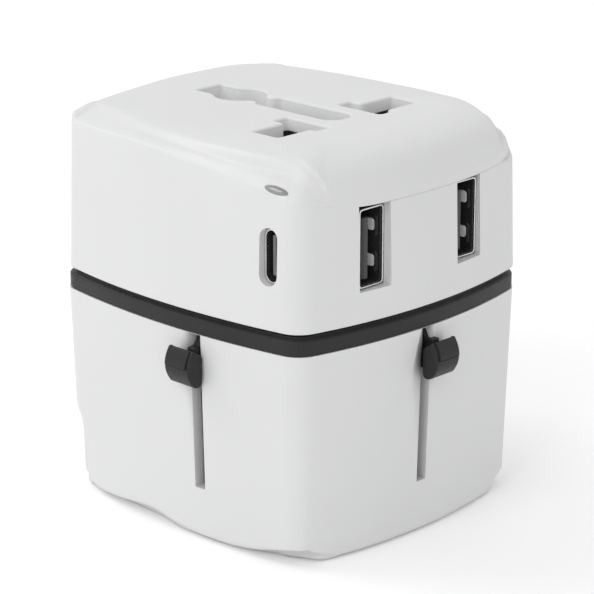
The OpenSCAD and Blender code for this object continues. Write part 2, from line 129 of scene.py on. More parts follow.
def arc_on(side, at):
    """Arc length where a face passes a coordinate: x on the front and back, y on the left."""
    middle, turn, radius = {"front": (270, 1, FRONT_R), "back": (90, -1, FRONT_R),
                            "left": (180, -1, SIDE_R)}[side]
    return arc_of(middle + turn * math.degrees(math.asin(at / radius)))


def smooth(t):
    t = min(1.0, max(0.0, t))
    return t * t * (3 - 2 * t)


def curve(knots):
    """Monotone cubic through (u, value) knots; value is a number or a tuple."""
    us = [k[0] for k in knots]
    many = isinstance(knots[0][1], tuple)
    rows = [k[1] if many else (k[1],) for k in knots]
    n = len(us)
    slopes = []
    for c in range(len(rows[0])):
        v = [r[c] for r in rows]
        step = [(v[i + 1] - v[i]) / (us[i + 1] - us[i]) for i in range(n - 1)]
        m = [step[0]] + [0.0 if step[i] * step[i + 1] <= 0 else
                         2 * step[i] * step[i + 1] / (step[i] + step[i + 1])
                         for i in range(n - 2)] + [step[-1]]
        slopes.append(m)

    def value(u):
        u = min(us[-1], max(us[0], u))
        i = 0
        while i < n - 2 and u > us[i + 1]:
            i += 1
        h = us[i + 1] - us[i]
        t = (u - us[i]) / h
        out = []
        for c, m in enumerate(slopes):
            a, b = rows[i][c], rows[i + 1][c]
            out.append((2 * t ** 3 - 3 * t * t + 1) * a + (t ** 3 - 2 * t * t + t) * h * m[i]
                       + (3 * t * t - 2 * t ** 3) * b + (t ** 3 - t * t) * h * m[i + 1])
        return tuple(out) if many else out[0]
    return value


# ---- lid shape
# stations run round one half of the body: -3 back, 0 side, 3 front
STATIONS = (-3, -2, -1, 1, 2, 3)
ANGLES = (90, 180 - TURN_2, 180 - TURN_1, 180 + TURN_1, 180 + TURN_2, 270)


def station(f):
    """Station of a normal angle, on either half."""
    f %= 360
    return convert((180 - f) % 360 if f < 90 or f > 270 else f, ANGLES, STATIONS)


def angle_of(u):
    """Normal angle on the -X half for a station: the reverse of station."""
    return convert(u, STATIONS, ANGLES)


# lower edge of the scoop
scoop_low = curve([(-3, 66.7), (-2.3, 66.6), (-1.55, 66.35), (-1.25, 65.9), (-1, 65.2),
                   (-0.634, 65.25), (-0.366, 65.3), (-0.154, 65.1), (0.061, 64.7), (0.317, 64.1),
                   (0.732, 62.6), (0.833, 62.3), (0.976, 61.5), (1.2, 61.05), (1.6, 60.85),
                   (2.0, 60.5), (2.1, 60.35), (2.25, 60.0), (3, 59.9)])
# seam between the lid and the housing, on the -X half and on the +X half
SEAM_START = [(-3, 63.8), (-2.5, 63.8), (-2.25, 64.5), (-2, 64.7), (-1, 64.8), (-0.634, 64.9),
              (-0.366, 64.95), (-0.154, 64.75), (0.061, 64.35), (0.317, 63.75), (0.732, 62.25),
              (0.833, 61.95)]
seam_left = curve(SEAM_START + [(0.976, 61.15), (1.2, 60.6), (1.6, 60.3), (2.0, 60.0), (2.1, 59.8),
                                (2.25, 59.2), (2.375, 58.75), (2.55, 58.6), (3, 58.6)])
seam_right = curve(SEAM_START + [(0.976, 61.1), (1.2, 60.0), (1.5, 59.3), (2.0, 58.95), (2.3, 58.7),
                                 (2.55, 58.6), (3, 58.6)])
# upper edge of the scoop, on the -X half
SCOOP_START, SCOOP_END = -2.25, 2.1
scoop_high = curve([(-2.25, (-18.4, 27.0, 67.1)), (-1.6, (-19.6, 25.9, 67.1)),
                    (-0.976, (-20.35, 24.0, 67.2)), (-0.813, (-21.5, 20.0, 67.2)),
                    (-0.61, (-22.77, 15.0, 67.1)), (-0.366, (-24.11, 9.0, 66.95)),
                    (0, (-24.97, 0.0, 66.85)), (0.244, (-25.36, -6.0, 66.8)),
                    (0.61, (-25.03, -15.0, 66.77)), (0.813, (-23.39, -20.0, 66.6)),
                    (1.05, (-22.49, -22.0, 66.35)), (1.35, (-21.95, -23.7, 65.9)),
                    (1.6, (-21.62, -25.0, 65.1)), (1.8, (-21.32, -26.0, 64.1)),
                    (1.95, (-21.0, -27.0, 63.0)), (2.05, (-20.85, -27.75, 61.9)),
                    (2.1, (-21.0, -28.2, 60.9))])
# how far the scoop's face goes in, and out again at the back
hollow = curve([(-3, 0.0), (-2.2, 0.0), (-1, 0.0), (-0.3, 0.15), (0.2, 0.3), (0.7, 0.6), (1.0, 0.7),
                (1.3, 0.45), (1.85, 0.15), (2.05, 0.0), (3, 0.0)])
bulge = curve([(-3, 0.0), (-2.3, 0.0), (-1.9, 0.3), (-1.4, 0.25), (-0.9, 0.0), (3, 0.0)])
# wave across the scoop at the far front corner
ripple = curve([(-3, 0.0), (0.95, 0.0), (1.25, 0.4), (1.9, 0.4), (2.07, 0.0), (3, 0.0)])
# how far the lid stands in from the shoulder of the housing, at the far front corner
step_in = curve([(-3, 0.0), (0.9, 0.0), (1.3, 0.7), (1.95, 0.7), (2.2, 0.0), (3, 0.0)])
# how widely the lower edge of the scoop is rounded
low_round = curve([(-3, 1.3), (-1.5, 1.3), (-1.2, 1.0), (-0.9, 0.6), (-0.6, 0.5), (0.9, 0.5),
                   (1.3, 0.9), (1.9, 0.9), (2.1, 0.45), (3, 0.45)])
SEAM_GAP = 0.022


def on_left(f):
    return 90 <= f % 360 <= 270


def tuck_at(f):
    return 0.0 if on_left(f) else step_in(station(f))


def seam_at(f):
    return seam_left(station(f)) if on_left(f) else seam_right(station(f))


def gap(f):
    """Open width of the seam: a fine line on the front and the back, closed elsewhere."""
    u = station(f)
    start = 2.42 if on_left(f) else 0.95
    return SEAM_GAP * (smooth((u - start) / 0.15) + smooth((-u - 2.3) / 0.2))


def slim(f):
    """The far corner of the -X side is a touch slimmer."""
    return 0.3 * smooth(1 - abs(station(f) + 1.5) / 1.1) if on_left(f) else 0.0


def lean(z):
    """How far the draft draws the wall in at height z, away from the belt."""
    return DRAFT * (z - BELT_TOP) if z > BELT_TOP else DRAFT * max(0.0, BELT_Z - z)


def rounded_frame(f, hx, y0, y1, r):
    """Rounded rectangle, with its points spread the way the outline's are."""
    u, inner = station(f), hx - r
    if abs(u) >= 2:
        x, y = -inner * (3 - abs(u)), y1 if u < 0 else y0
    elif abs(u) > 1:
        a = math.radians(270 + 90 * u if u < 0 else 90 + 90 * u)
        x, y = -inner + r * math.cos(a), (y1 - r if u < 0 else y0 + r) + r * math.sin(a)
    else:
        x, y = -hx, lerp(y1 - r, y0 + r, (u + 1) / 2)
    return Vector((x if on_left(f) else -x, y, 0))


def wall_point(f, z, d):
    x, y = outline(f, d)
    return Vector((x, y, z))


# slant of the lid's back edge towards the -X side, and the crown's lower end and height
SKEW, CROWN_LOW, CROWN_H = 0.055, 61.0, 6.3
# rounded frames round the flat top and round its middle: half width, front, back, corner radius
CROWN_FRAME = (19.6, -21.2, 27.6, 5.0)
PLATE_FRAME = (18.2, -15.8, 20.6, 1.0)


def bend(before, corner, after, steps):
    """Points round a corner that is rounded from before to after."""
    return [before.lerp(corner, k / steps).lerp(corner.lerp(after, k / steps), k / steps)
            for k in range(steps + 1)]


def lid_profile(f, real=None):
    """Points of one lid section on the -X half, from the seam up to the flat plate.

    real is the angle that the section stands for, where it is mirrored to the +X half."""
    u = station(f)
    real = f if real is None else real
    tuck = tuck_at(real)
    inset = tuck + slim(real)
    skew = SKEW * abs(wall_point(f, TOP_Z, 0).x) * (1 if on_left(real) else -0.5)
    seam_z = seam_at(real) + gap(real) - tuck
    low_z = scoop_low(u)
    if not on_left(real):
        low_z -= 1.1 * smooth(1 - abs(u + 1.75) / 0.8)
    bottom = wall_point(f, seam_z, lean(seam_z) + inset)
    low = wall_point(f, low_z,
                     lean(low_z) + inset + 0.8 * max(0.0, skew) * smooth((-u - 1.5) / 0.5))
    flat = rounded_frame(f, *CROWN_FRAME)
    flat.y -= (flat.x ** 2 / (2 * FRONT_R) + skew) * smooth((flat.y - 15) / 10)
    flat.z = TOP_Z
    plate = rounded_frame(f, *PLATE_FRAME)
    plate.z = TOP_Z
    front_start, front_pull = wall_point(f, CROWN_LOW, 0.75), wall_point(f, 66.9, 1.2)
    front_pull.z -= 0.9 * smooth((abs(front_pull.x) - 8) / 14)
    back_start, back_pull = wall_point(f, 67.15, 1.5 + skew), wall_point(f, 67.29, 2.0 + skew)
    on_scoop = Vector(scoop_high(u))
    high = on_scoop.lerp(front_start, smooth((u - SCOOP_END) / 0.05))
    if u < SCOOP_START:
        high = on_scoop.lerp(back_start, smooth((SCOOP_START - u) / 0.2))
    side_pull = high.lerp(flat, 0.4)
    side_pull.z = lerp(high.z, TOP_Z, 0.9)
    t0 = 1 - math.sqrt(max(0.0, 1 - (high.z - CROWN_LOW) / CROWN_H))
    pull = side_pull.lerp(front_pull.lerp(flat, t0), smooth((u - 1.0) / 0.7))
    pull = pull.lerp(back_pull, smooth((-u - 2.1) / 0.3))
    rise = high - low
    inward = Vector((rise.x, rise.y, 0))
    outward = Vector((0, 0, 1)) * inward.length - inward.normalized() * rise.z
    outward.normalize()
    rim = low_round(u) * min(1.0, rise.length / 3)
    # lower edge, rounded over
    before = low + Vector((0, 0, -0.7 * low_round(u)))
    before.z = max(before.z, bottom.z + 0.02)
    after = low + rise.normalized() * rim
    points = [bottom] + bend(before, low, after, 4)
    # hollow face of the scoop
    lip = (0.5 + 0.3 * smooth((u - 1) / 0.4)) * min(1.0, rise.length / 3)
    start_t, end_t = rim / rise.length, 1 - lip / rise.length
    for k in range(1, 7):
        part = k / 7
        push = bulge(u) * math.sin(math.pi * part)
        push -= hollow(u) * math.sin(math.pi * max(0.0, (part - 0.25) / 0.75)) ** 2
        if tuck:
            push += ripple(u) * math.sin(2 * math.pi * part)
        points.append(low + rise * lerp(start_t, end_t, part) + outward * push)
    # upper edge, rounded over
    onward = (pull - high).normalized()
    before, after = high - rise.normalized() * lip, high + onward * lip
    points += bend(before, high, after, 4)
    # crown, easing into the flat top
    points += bend(after, pull, flat, 12)[1:] + [flat.lerp(plate, 0.5), plate]
    # the back edge dips a little on this half
    if on_left(real):
        for p in points:
            sag = 0.2 * math.sin(math.pi * min(1.0, abs(p.x) / 25))
            p.z -= sag * smooth((p.y - 20.7) / 6) * smooth((p.z - 64) / 2)
    return points


def lid_section(f):
    """The lid's section at any angle: the +X half is the mirror image of the -X half."""
    f %= 360
    if on_left(f):
        return lid_profile(f)
    return [Vector((-p.x, p.y, p.z)) for p in lid_profile((180 - f) % 360, f)]


# ---- mesh helpers
# points merged and edges collapsed below these lengths in metres, and the triangulation's tolerance
MERGE, COLLAPSE, TOLERANCE = 2e-6, 1e-7, 1e-5


class Shape:
    """Collects points and faces in millimetres; equal points are merged when it is built."""

    def __init__(self):
        self.points, self.faces = [], []

    def add(self, p):
        self.points.append(tuple(c * MM for c in p))
        return len(self.points) - 1

    def rings(self, rows, closed=True, cap_first=False, cap_last=False):
        loops = [[self.add(p) for p in r] for r in rows]
        n = len(loops[0])
        for a, b in zip(loops, loops[1:]):
            for i in range(n if closed else n - 1):
                j = (i + 1) % n
                self.faces.append((a[i], a[j], b[j], b[i]))
        if cap_first:
            self.faces.append(tuple(loops[0]))
        if cap_last:
            self.faces.append(tuple(reversed(loops[-1])))

    def solid(self, rows):
        self.rings(rows, cap_first=True, cap_last=True)

    def fill(self, coords, edges, keep, lift):
        """Faces between fixed edges, of those whose middle is wanted; lift gives the 3-D point."""
        out = delaunay_2d_cdt(coords, edges, [], 0, TOLERANCE)
        base = len(self.points)
        for p in out[0]:
            self.add(lift(p.x, p.y))
        for face in out[2]:
            if keep(sum((out[0][i] for i in face), Vector((0, 0))) / len(face)):
                self.faces.append(tuple(base + i for i in face))

    def flat(self, outer, holes, z):
        """Level face between an outer loop and hole loops."""
        coords, edges = outlines([outer] + holes)
        self.fill(coords, edges, lambda c: inside(c, outer) and outside(c, holes),
                  lambda x, y: (x, y, z))

    def sheet(self, us, vs, holes, lift):
        """Surface over a grid in (u, v), with hole loops left open; lift gives the 3-D point."""
        coords, edges = outlines(holes)
        top, bottom = [], []
        for u in us:
            for v in vs:
                p = Vector((u, v))
                edge = v in (vs[0], vs[-1])
                if any(near(p, h, 0.02 if edge else 0.5) for h in holes):
                    continue
                if v == vs[0]:
                    bottom.append(len(coords))
                if v == vs[-1]:
                    top.append(len(coords))
                coords.append(p)
        edges += list(zip(bottom, bottom[1:])) + list(zip(top, top[1:]))
        self.fill(coords, edges, lambda c: c.y < vs[-1] and outside(c, holes), lift)

    def build(self, name, sharp, bevel):
        mesh = bpy.data.meshes.new(name)
        mesh.from_pydata(self.points, [], self.faces)
        bm = bmesh.new()
        bm.from_mesh(mesh)
        bmesh.ops.remove_doubles(bm, verts=bm.verts, dist=MERGE)
        bmesh.ops.dissolve_degenerate(bm, edges=bm.edges, dist=COLLAPSE)
        bmesh.ops.recalc_face_normals(bm, faces=bm.faces)
        bm.to_mesh(mesh)
        bm.free()
        obj = add_object(name, mesh)
        mesh.shade_smooth()
        if bevel:
            add_bevel(obj, bevel, 3)
        elif sharp:
            mesh.set_sharp_from_angle(angle=math.radians(sharp))
        weigh_normals(obj, 80)
        return obj


def add_object(name, data):
    obj = bpy.data.objects.new(name, data)
    bpy.context.scene.collection.objects.link(obj)
    return obj


def add_bevel(obj, width, segments):
    m = obj.modifiers.new("edge", "BEVEL")
    m.width = width * MM
    m.segments = segments
    m.limit_method = "ANGLE"
    m.angle_limit = math.radians(40)


def weigh_normals(obj, weight=50):
    m = obj.modifiers.new("normals", "WEIGHTED_NORMAL")
    m.keep_sharp = True
    m.weight = weight


def outlines(loops):
    """Points and edges of closed loops, for the triangulation."""
    coords, edges = [], []
    for loop in loops:
        n0 = len(coords)
        coords += [Vector((p[0], p[1])) for p in loop]
        edges += [(n0 + i, n0 + (i + 1) % len(loop)) for i in range(len(loop))]
    return coords, edges


def sides(loop):
    """Each side of a closed polygon, as its two ends."""
    return [(loop[i][:2], loop[(i + 1) % len(loop)][:2]) for i in range(len(loop))]


def corners(points):
    """Each corner of a closed polygon, between the one before and the one after."""
    n = len(points)
    return [[Vector(points[(i + k) % n]) for k in (-1, 0, 1)] for i in range(n)]


def inside(p, loop):
    hit = False
    for (x0, y0), (x1, y1) in sides(loop):
        if (y0 > p.y) != (y1 > p.y) and p.x < (x1 - x0) * (p.y - y0) / (y1 - y0) + x0:
            hit = not hit
    return hit


def outside(p, loops):
    return not any(inside(p, loop) for loop in loops)


def near(p, loop, reach):
    """Whether p lies inside the loop or within reach of it."""
    if inside(p, loop):
        return True
    for start, end in sides(loop):
        a = Vector(start)
        ab = Vector(end) - a
        t = max(0.0, min(1.0, (p - a).dot(ab) / max(1e-12, ab.dot(ab))))
        if (p - a - ab * t).length < reach:
            return True
    return False


def rounded(points, radius, steps=4, reflex=None):
    """Polygon with its corners rounded; reflex is the radius of corners that turn the other way."""
    out = []
    sign = 1 if area(points) > 0 else -1
    for a, b, c in corners(points):
        turn = sign * (b - a).normalized().cross((c - b).normalized())
        if reflex and abs(turn) < 0.3:
            out.append(tuple(b))
            continue
        wanted = reflex if reflex and turn < 0 else radius
        r = min(wanted, (a - b).length * 0.45, (c - b).length * 0.45)
        start, end = b + (a - b).normalized() * r, b + (c - b).normalized() * r
        out += [tuple(p) for p in bend(start, b, end, steps)]
    return out


def offset(points, d):
    """Closed polygon moved outwards by d (points run anticlockwise)."""
    out = []
    for a, b, c in corners(points):
        e, g = (b - a).normalized(), (c - b).normalized()
        ne, ng = Vector((e.y, -e.x)), Vector((g.y, -g.x))
        m = ne + ng
        out.append(tuple(b + m * (d * 2 / max(0.5, m.dot(m)))))
    return out


def area(points):
    return sum(x0 * y1 - x1 * y0 for (x0, y0), (x1, y1) in sides(points)) / 2


def anticlockwise(points):
    return points if area(points) > 0 else points[::-1]


def rounded_rect(x0, x1, y0, y1, radius, steps=4):
    return anticlockwise(rounded([(x0, y0), (x1, y0), (x1, y1), (x0, y1)], radius, steps))


def circle(x, y, radius, step):
    """Points every so many degrees round a circle."""
    return [(x + radius * math.cos(math.radians(a)), y + radius * math.sin(math.radians(a)))
            for a in range(0, 360, step)]


def stadium(length, width, steps=12):
    """Rounded slot outline, long in the first coordinate."""
    r, out = width / 2, []
    for side in (1, -1):
        for k in range(steps + 1):
            a = math.radians(-90 + 180 * k / steps)
            out.append((side * (length / 2 - r + r * math.cos(a)), side * r * math.sin(a)))
    return out


def oval(length, width, steps=44):
    """Ellipse, long in the first coordinate."""
    turns = [2 * math.pi * k / steps for k in range(steps)]
    return [(length / 2 * math.cos(a), width / 2 * math.sin(a)) for a in turns]


# ---- materials
def new_material(name):
    m = bpy.data.materials.new(name)
    m.use_nodes = True
    return m, m.node_tree, m.node_tree.nodes["Principled BSDF"]


def set_inputs(node, values):
    for key, value in values.items():
        node.inputs[key].default_value = value


def noise_node(tree, scale, detail=3.0, stretch=(1, 1, 1)):
    coord = tree.nodes.new("ShaderNodeTexCoord")
    mapping = tree.nodes.new("ShaderNodeMapping")
    n = tree.nodes.new("ShaderNodeTexNoise")
    set_inputs(mapping, {"Scale": stretch})
    set_inputs(n, {"Scale": scale, "Detail": detail, "Roughness": 0.5})
    tree.links.new(coord.outputs["Object"], mapping.inputs["Vector"])
    tree.links.new(mapping.outputs["Vector"], n.inputs["Vector"])
    return n.outputs["Fac"]


def ramp(tree, source, low, high):
    r = tree.nodes.new("ShaderNodeMapRange")
    set_inputs(r, {"From Min": 0.3, "From Max": 0.7, "To Min": low, "To Max": high})
    tree.links.new(source, r.inputs["Value"])
    return r.outputs["Result"]


def colour_mix(tree, source, low, high):
    """Colour between low and high; a plain number is a grey."""
    r = tree.nodes.new("ShaderNodeValToRGB")
    for element, place, colour in zip(r.color_ramp.elements, (0.3, 0.7), (low, high)):
        element.position = place
        element.color = (*([colour] * 3 if isinstance(colour, float) else colour), 1)
    tree.links.new(source, r.inputs["Fac"])
    return r.outputs["Color"]


def surface(name, low, high, rough, metallic=0.0, patch=60, grain=3000, depth=0.004, strength=0.3,
            stretch=(1, 1, 1), specular=0.5, coat=0.0, glow=None):
    """Moulded, machined or coated finish: patchy colour, uneven gloss and a fine grain."""
    m, tree, shader = new_material(name)
    broad = noise_node(tree, patch, 4.0, stretch)
    fine = noise_node(tree, grain, 2.0, stretch)
    bump = tree.nodes.new("ShaderNodeBump")
    set_inputs(bump, {"Strength": strength, "Distance": depth * MM})
    tree.links.new(fine, bump.inputs["Height"])
    tree.links.new(colour_mix(tree, broad, low, high), shader.inputs["Base Color"])
    tree.links.new(ramp(tree, fine, *rough), shader.inputs["Roughness"])
    tree.links.new(bump.outputs["Normal"], shader.inputs["Normal"])
    set_inputs(shader, {"Metallic": metallic, "Specular IOR Level": specular, "Coat Weight": coat})
    if coat:
        set_inputs(shader, {"Coat Roughness": 0.15})
    if glow:
        set_inputs(shader, {"Emission Color": (*glow[0], 1), "Emission Strength": glow[1]})
    return m


WHITE = surface("white_shell", (0.652, 0.654, 0.656), (0.668, 0.670, 0.672), (0.40, 0.54),
                patch=45, grain=2600, depth=0.012, strength=0.35, specular=0.4)
# lighter copy of the white shell plastic: painted light for the shaded socket hole walls
HOLE_WALL_PAINTED_LIGHT = surface("white_hole_wall_painted_light", (0.84, 0.842, 0.845), (0.87, 0.872, 0.875), (0.34, 0.46),
                     patch=120, grain=1800, depth=0.01)
TRIM = surface("black_trim", 0.019, 0.025, (0.34, 0.50), patch=90, grain=2200, depth=0.012,
               strength=0.4, specular=0.22)
DARK = surface("dark_insulator", 0.018, 0.030, (0.5, 0.68), grain=1800, depth=0.01)
SHUTTER = surface("shutter_plastic", 0.05, 0.075, (0.42, 0.58), grain=1800, depth=0.01)
BRASS = surface("contact_brass", (0.66, 0.44, 0.16), (0.78, 0.55, 0.24), (0.2, 0.36), 1.0,
                patch=300, grain=1500, stretch=(1, 1, 0.15), depth=0.003)
SPRING = surface("spring_steel", 0.42, 0.56, (0.2, 0.34), 1.0, patch=400, grain=2500)
PORT_STEEL = surface("port_steel", 0.62, 0.76, (0.18, 0.32), 1.0, patch=300, grain=1600,
                     stretch=(1, 0.12, 1), depth=0.002)
# near-black lining for the insides of the ports: painted shade
PORT_PAINTED_SHADE_LINER = surface("port_plastic", 0.020, 0.032, (0.4, 0.55), grain=2000, depth=0.006)
GOLD = surface("gold_contact", (0.80, 0.56, 0.20), (0.88, 0.66, 0.30), (0.16, 0.28), 1.0,
               patch=500, grain=2500)
BOARD = surface("circuit_board", (0.010, 0.075, 0.028), (0.016, 0.11, 0.045), (0.3, 0.42),
                patch=220, grain=1400, depth=0.01, coat=0.3)
LED_DIE = surface("led_die", (0.75, 0.85, 0.75), (0.85, 0.95, 0.85), (0.2, 0.3), patch=700,
                  grain=2400, glow=((0.6, 1.0, 0.65), 0.3))
FERRITE = surface("ferrite", 0.055, 0.09, (0.55, 0.75), patch=350, grain=1700, depth=0.02)
WINDING = surface("winding_wire", (0.50, 0.20, 0.06), (0.68, 0.32, 0.11), (0.25, 0.4), 0.6,
                  patch=350, grain=1500, stretch=(1, 9, 1), depth=0.03)
SLEEVE = surface("capacitor_sleeve", (0.010, 0.012, 0.020), (0.02, 0.022, 0.035), (0.28, 0.4),
                 patch=120, grain=1200, coat=0.2)
CERAMIC = surface("fuse_ceramic", (0.70, 0.67, 0.58), (0.78, 0.75, 0.67), (0.3, 0.45), patch=250,
                  grain=1600)
FUSE_METAL = surface("fuse_metal", 0.55, 0.70, (0.2, 0.34), 1.0, patch=350, grain=1600)
SCREW = surface("screw_steel", 0.30, 0.45, (0.25, 0.4), 1.0, patch=500, grain=2000)
CARRIAGE = surface("carriage_plastic", 0.09, 0.13, (0.45, 0.6), grain=1800, depth=0.012)
PIN_BRASS = surface("pin_brass", (0.72, 0.50, 0.20), (0.84, 0.62, 0.30), (0.14, 0.3), 1.0,
                    patch=250, grain=1400, stretch=(1, 1, 0.1), depth=0.003)
PIN_NICKEL = surface("pin_nickel", 0.64, 0.76, (0.12, 0.28), 1.0, patch=250, grain=1400,
                     stretch=(1, 1, 0.1), depth=0.003)
TONGUE = surface("tongue_plastic", 0.042, 0.058, (0.38, 0.5), grain=2000, depth=0.006)
C_TONGUE = surface("usb_c_tongue_plastic", 0.12, 0.16, (0.4, 0.5), grain=2000, depth=0.006)
# spring tab steel in painted light: the pads near white as a painted highlight, the arms near black
# as painted shade
SPRING_PAD_PAINTED_HIGHLIGHT = surface("spring_pad_painted_highlight", 0.88, 0.92, (0.3, 0.4), patch=900, grain=2600, depth=0.01)
SPRING_ARM_PAINTED_SHADE = surface("spring_arm_painted_shade", 0.055, 0.08, (0.3, 0.45), 0.2, patch=900, grain=2600)
# lighter middle strip of the lens: a painted highlight
LENS_PAINTED_HIGHLIGHT = surface("lens_centre_painted_highlight", 0.36, 0.46, (0.25, 0.4), patch=500, grain=2400)
LENS_RIM = surface("lens_rim", 0.20, 0.26, (0.35, 0.5), patch=500, grain=2400)


def make_piece(shape, name, material, slot, *replaced, body="housing", sharp=35, bevel=0.0):
    """Build a shape, give it its finish and let it ride on its body."""
    obj = shape.build(name, sharp, bevel)
    obj.data.materials.append(material)
    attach(obj, body)
    if replaced:
        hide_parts(*replaced)
    return obj


# ---- lid with its socket holes
EARTH_Y, EARTH_R = 11.8, 4.4
POLE = [(-16.5, -13.2), (-9.1, -13.2), (-9.1, -14.5), (-6.1, -14.5), (-6.1, -5.1), (-9.1, -5.1),
        (-9.1, -7.6), (-16.5, -7.6)]
EARTH_HALF = [(1.4, -12.2), (2.9, -10.6), (2.9, 5.2), (1.7, 6.0), (1.7, 7.3), (2.35, 8.15)]
EARTH_HALF += [(EARTH_R * math.cos(math.radians(a)), EARTH_Y + EARTH_R * math.sin(math.radians(a)))
               for a in (-50, -41, -32, -23, -14, -5, 4, 13, 22, 31, 38)]
EARTH_HALF += [(2.95, 15.5), (2.9, 16.6), (2.9, 19.6)]
EARTH = EARTH_HALF + [(-x, y) for x, y in reversed(EARTH_HALF)]
socket_holes = [anticlockwise(rounded(h, 0.4, 4, 0.9))
                for h in (POLE, [(-x, y) for x, y in POLE], EARTH)]
HOLE_EDGE, WALL_T, GUIDE_GAP = 0.55, 0.1, 0.12
LID_UNDER, LID_DEEP, EARTH_WALL = 65.1, 63.2, 62.4


def station_list():
    """Angles of the lid's sections all the way round, closer together where the shape turns."""
    spans = [(-3, -2.45, 6), (-2.45, -2.0, 10), (-2.0, -1.0, 18), (-1.0, 1.0, 40), (1.0, 1.8, 16),
             (1.8, 2.2, 34), (2.2, 3.0, 16)]
    us = []
    for a, b, n in spans:
        us += [lerp(a, b, k / n) for k in range(n)]
    half = [angle_of(u) for u in us] + [270.0]
    other = [(180 - f) % 360 for f in reversed(half[1:-1])]
    return half + other


def make_lid():
    shape = Shape()
    angles = station_list()
    sections = [lid_section(f) for f in angles]
    rows = [[s[k] for s in sections] for k in range(len(sections[0]))]
    under = []
    for f in angles:
        z = seam_at(f) + gap(f) - tuck_at(f)
        under.append([wall_point(f, z, lean(z) + 0.12 + tuck_at(f) + slim(f)),
                      wall_point(f, z, 2.9), wall_point(f, LID_DEEP, 4.6)])
    plate = rows[-1]
    low_plate = [Vector((p.x, p.y, LID_UNDER)) for p in plate]
    inner = [[s[k] for s in under] for k in range(3)]
    shape.rings([low_plate, inner[2], inner[1], inner[0]] + rows)
    edges = []
    for hole in socket_holes:
        loops = []
        for k in range(6):
            a = math.radians(90 * k / 5)
            loops.append([(x, y, TOP_Z - HOLE_EDGE * (1 - math.cos(a)))
                          for x, y in offset(hole, HOLE_EDGE * (1 - math.sin(a)))])
        shape.rings(loops)
        edges.append((loops[0], [(x, y, LID_UNDER) for x, y in hole]))
    shape.flat(plate, [e[0] for e in edges], TOP_Z)
    shape.flat(low_plate, [e[1] for e in edges], LID_UNDER)
    lid = make_piece(shape, "body_top_cover", WHITE, "white_shell", "top_cover", sharp=80)
    # glossy walls of the three holes, coloured lighter than the shell plastic as painted light
    # inside the shaded holes; the earth hole's go deeper, less so along its guide slot
    shape = Shape()
    for hole, deep in zip(socket_holes, (LID_UNDER, LID_UNDER, EARTH_WALL)):
        guide = min(LID_UNDER, deep + 2.1)
        foot = [(x, y, lerp(guide, deep, smooth((y + 4) / 7))) for x, y in hole]
        behind = offset(hole, WALL_T)
        back = [(x, y, z) for (x, y), (_, _, z) in zip(behind, foot)]
        top, top_back = ([(x, y, TOP_Z - HOLE_EDGE) for x, y in loop] for loop in (hole, behind))
        shape.rings([top, foot, back, top_back])
    make_piece(shape, "socket_hole_walls", HOLE_WALL_PAINTED_LIGHT, "white_shell", sharp=50)
    # dark insulating guide that carries the holes on down to the shutter
    shape = Shape()
    low, high = box_mm("socket_collar")
    rim = rounded_rect(low.x, high.x, low.y, high.y, 1.0)
    guides = [offset(hole, GUIDE_GAP) for hole in socket_holes]
    for loop in [rim] + guides:
        shape.rings([[(x, y, z) for x, y in loop] for z in (low.z, LID_UNDER - 0.02)])
    shape.flat(rim, guides, low.z)
    shape.flat(rim, guides, LID_UNDER - 0.02)
    make_piece(shape, "socket_pin_guide", DARK, "dark_insulator", "socket_collar")
    return lid


LID = make_lid()

# ---- upper housing with the port recesses
USB_A = {"left": box_mm("usb_a_shell_left"), "right": box_mm("usb_a_shell_right")}
PORT_X = {k: (b[0].x + b[1].x) / 2 for k, b in USB_A.items()}
PORT_Z = (USB_A["left"][0].z + USB_A["left"][1].z) / 2
PORT_Y = USB_A["left"][0].y
C_LOW, C_HIGH = box_mm("usb_c_shell")
C_Y, C_Z, C_X = (C_LOW.y + C_HIGH.y) / 2, (C_LOW.z + C_HIGH.z) / 2, C_LOW.x


def edge_round(height, radius):
    """How far a rounded edge stands in at a height above its foot."""
    t = max(0.0, 1 - height / radius)
    return radius * (1 - math.sqrt(max(0.0, 1 - t * t)))


def arc_grid(step_face, step_corner):
    """Arc lengths round the whole outline, closer together in the corners."""
    out = []
    for k in range(4):
        marks = [0, ARC_1, ARC_2, QUARTER]
        if k % 2:
            marks = [0, QUARTER - ARC_2, QUARTER - ARC_1, QUARTER]
        for i, step in enumerate((step_face, step_corner, step_face)):
            n = max(1, round((marks[i + 1] - marks[i]) / step))
            out += [k * QUARTER + lerp(marks[i], marks[i + 1], j / n) for j in range(n)]
    return sorted(set(out + [4 * QUARTER]))


KNEE, SEAM_ROWS = 57.0, 1.5
RECESS_W, RECESS_DOWN, RECESS_STEP = 3.25, 6.8, 0.12
A_SHELL_X, A_SHELL_Z = 3.13, 6.78
SHOULDER = 0.35
C_RECESS, C_OPENING, C_STEP = (9.4, 3.38), (8.96, 3.18), 0.35


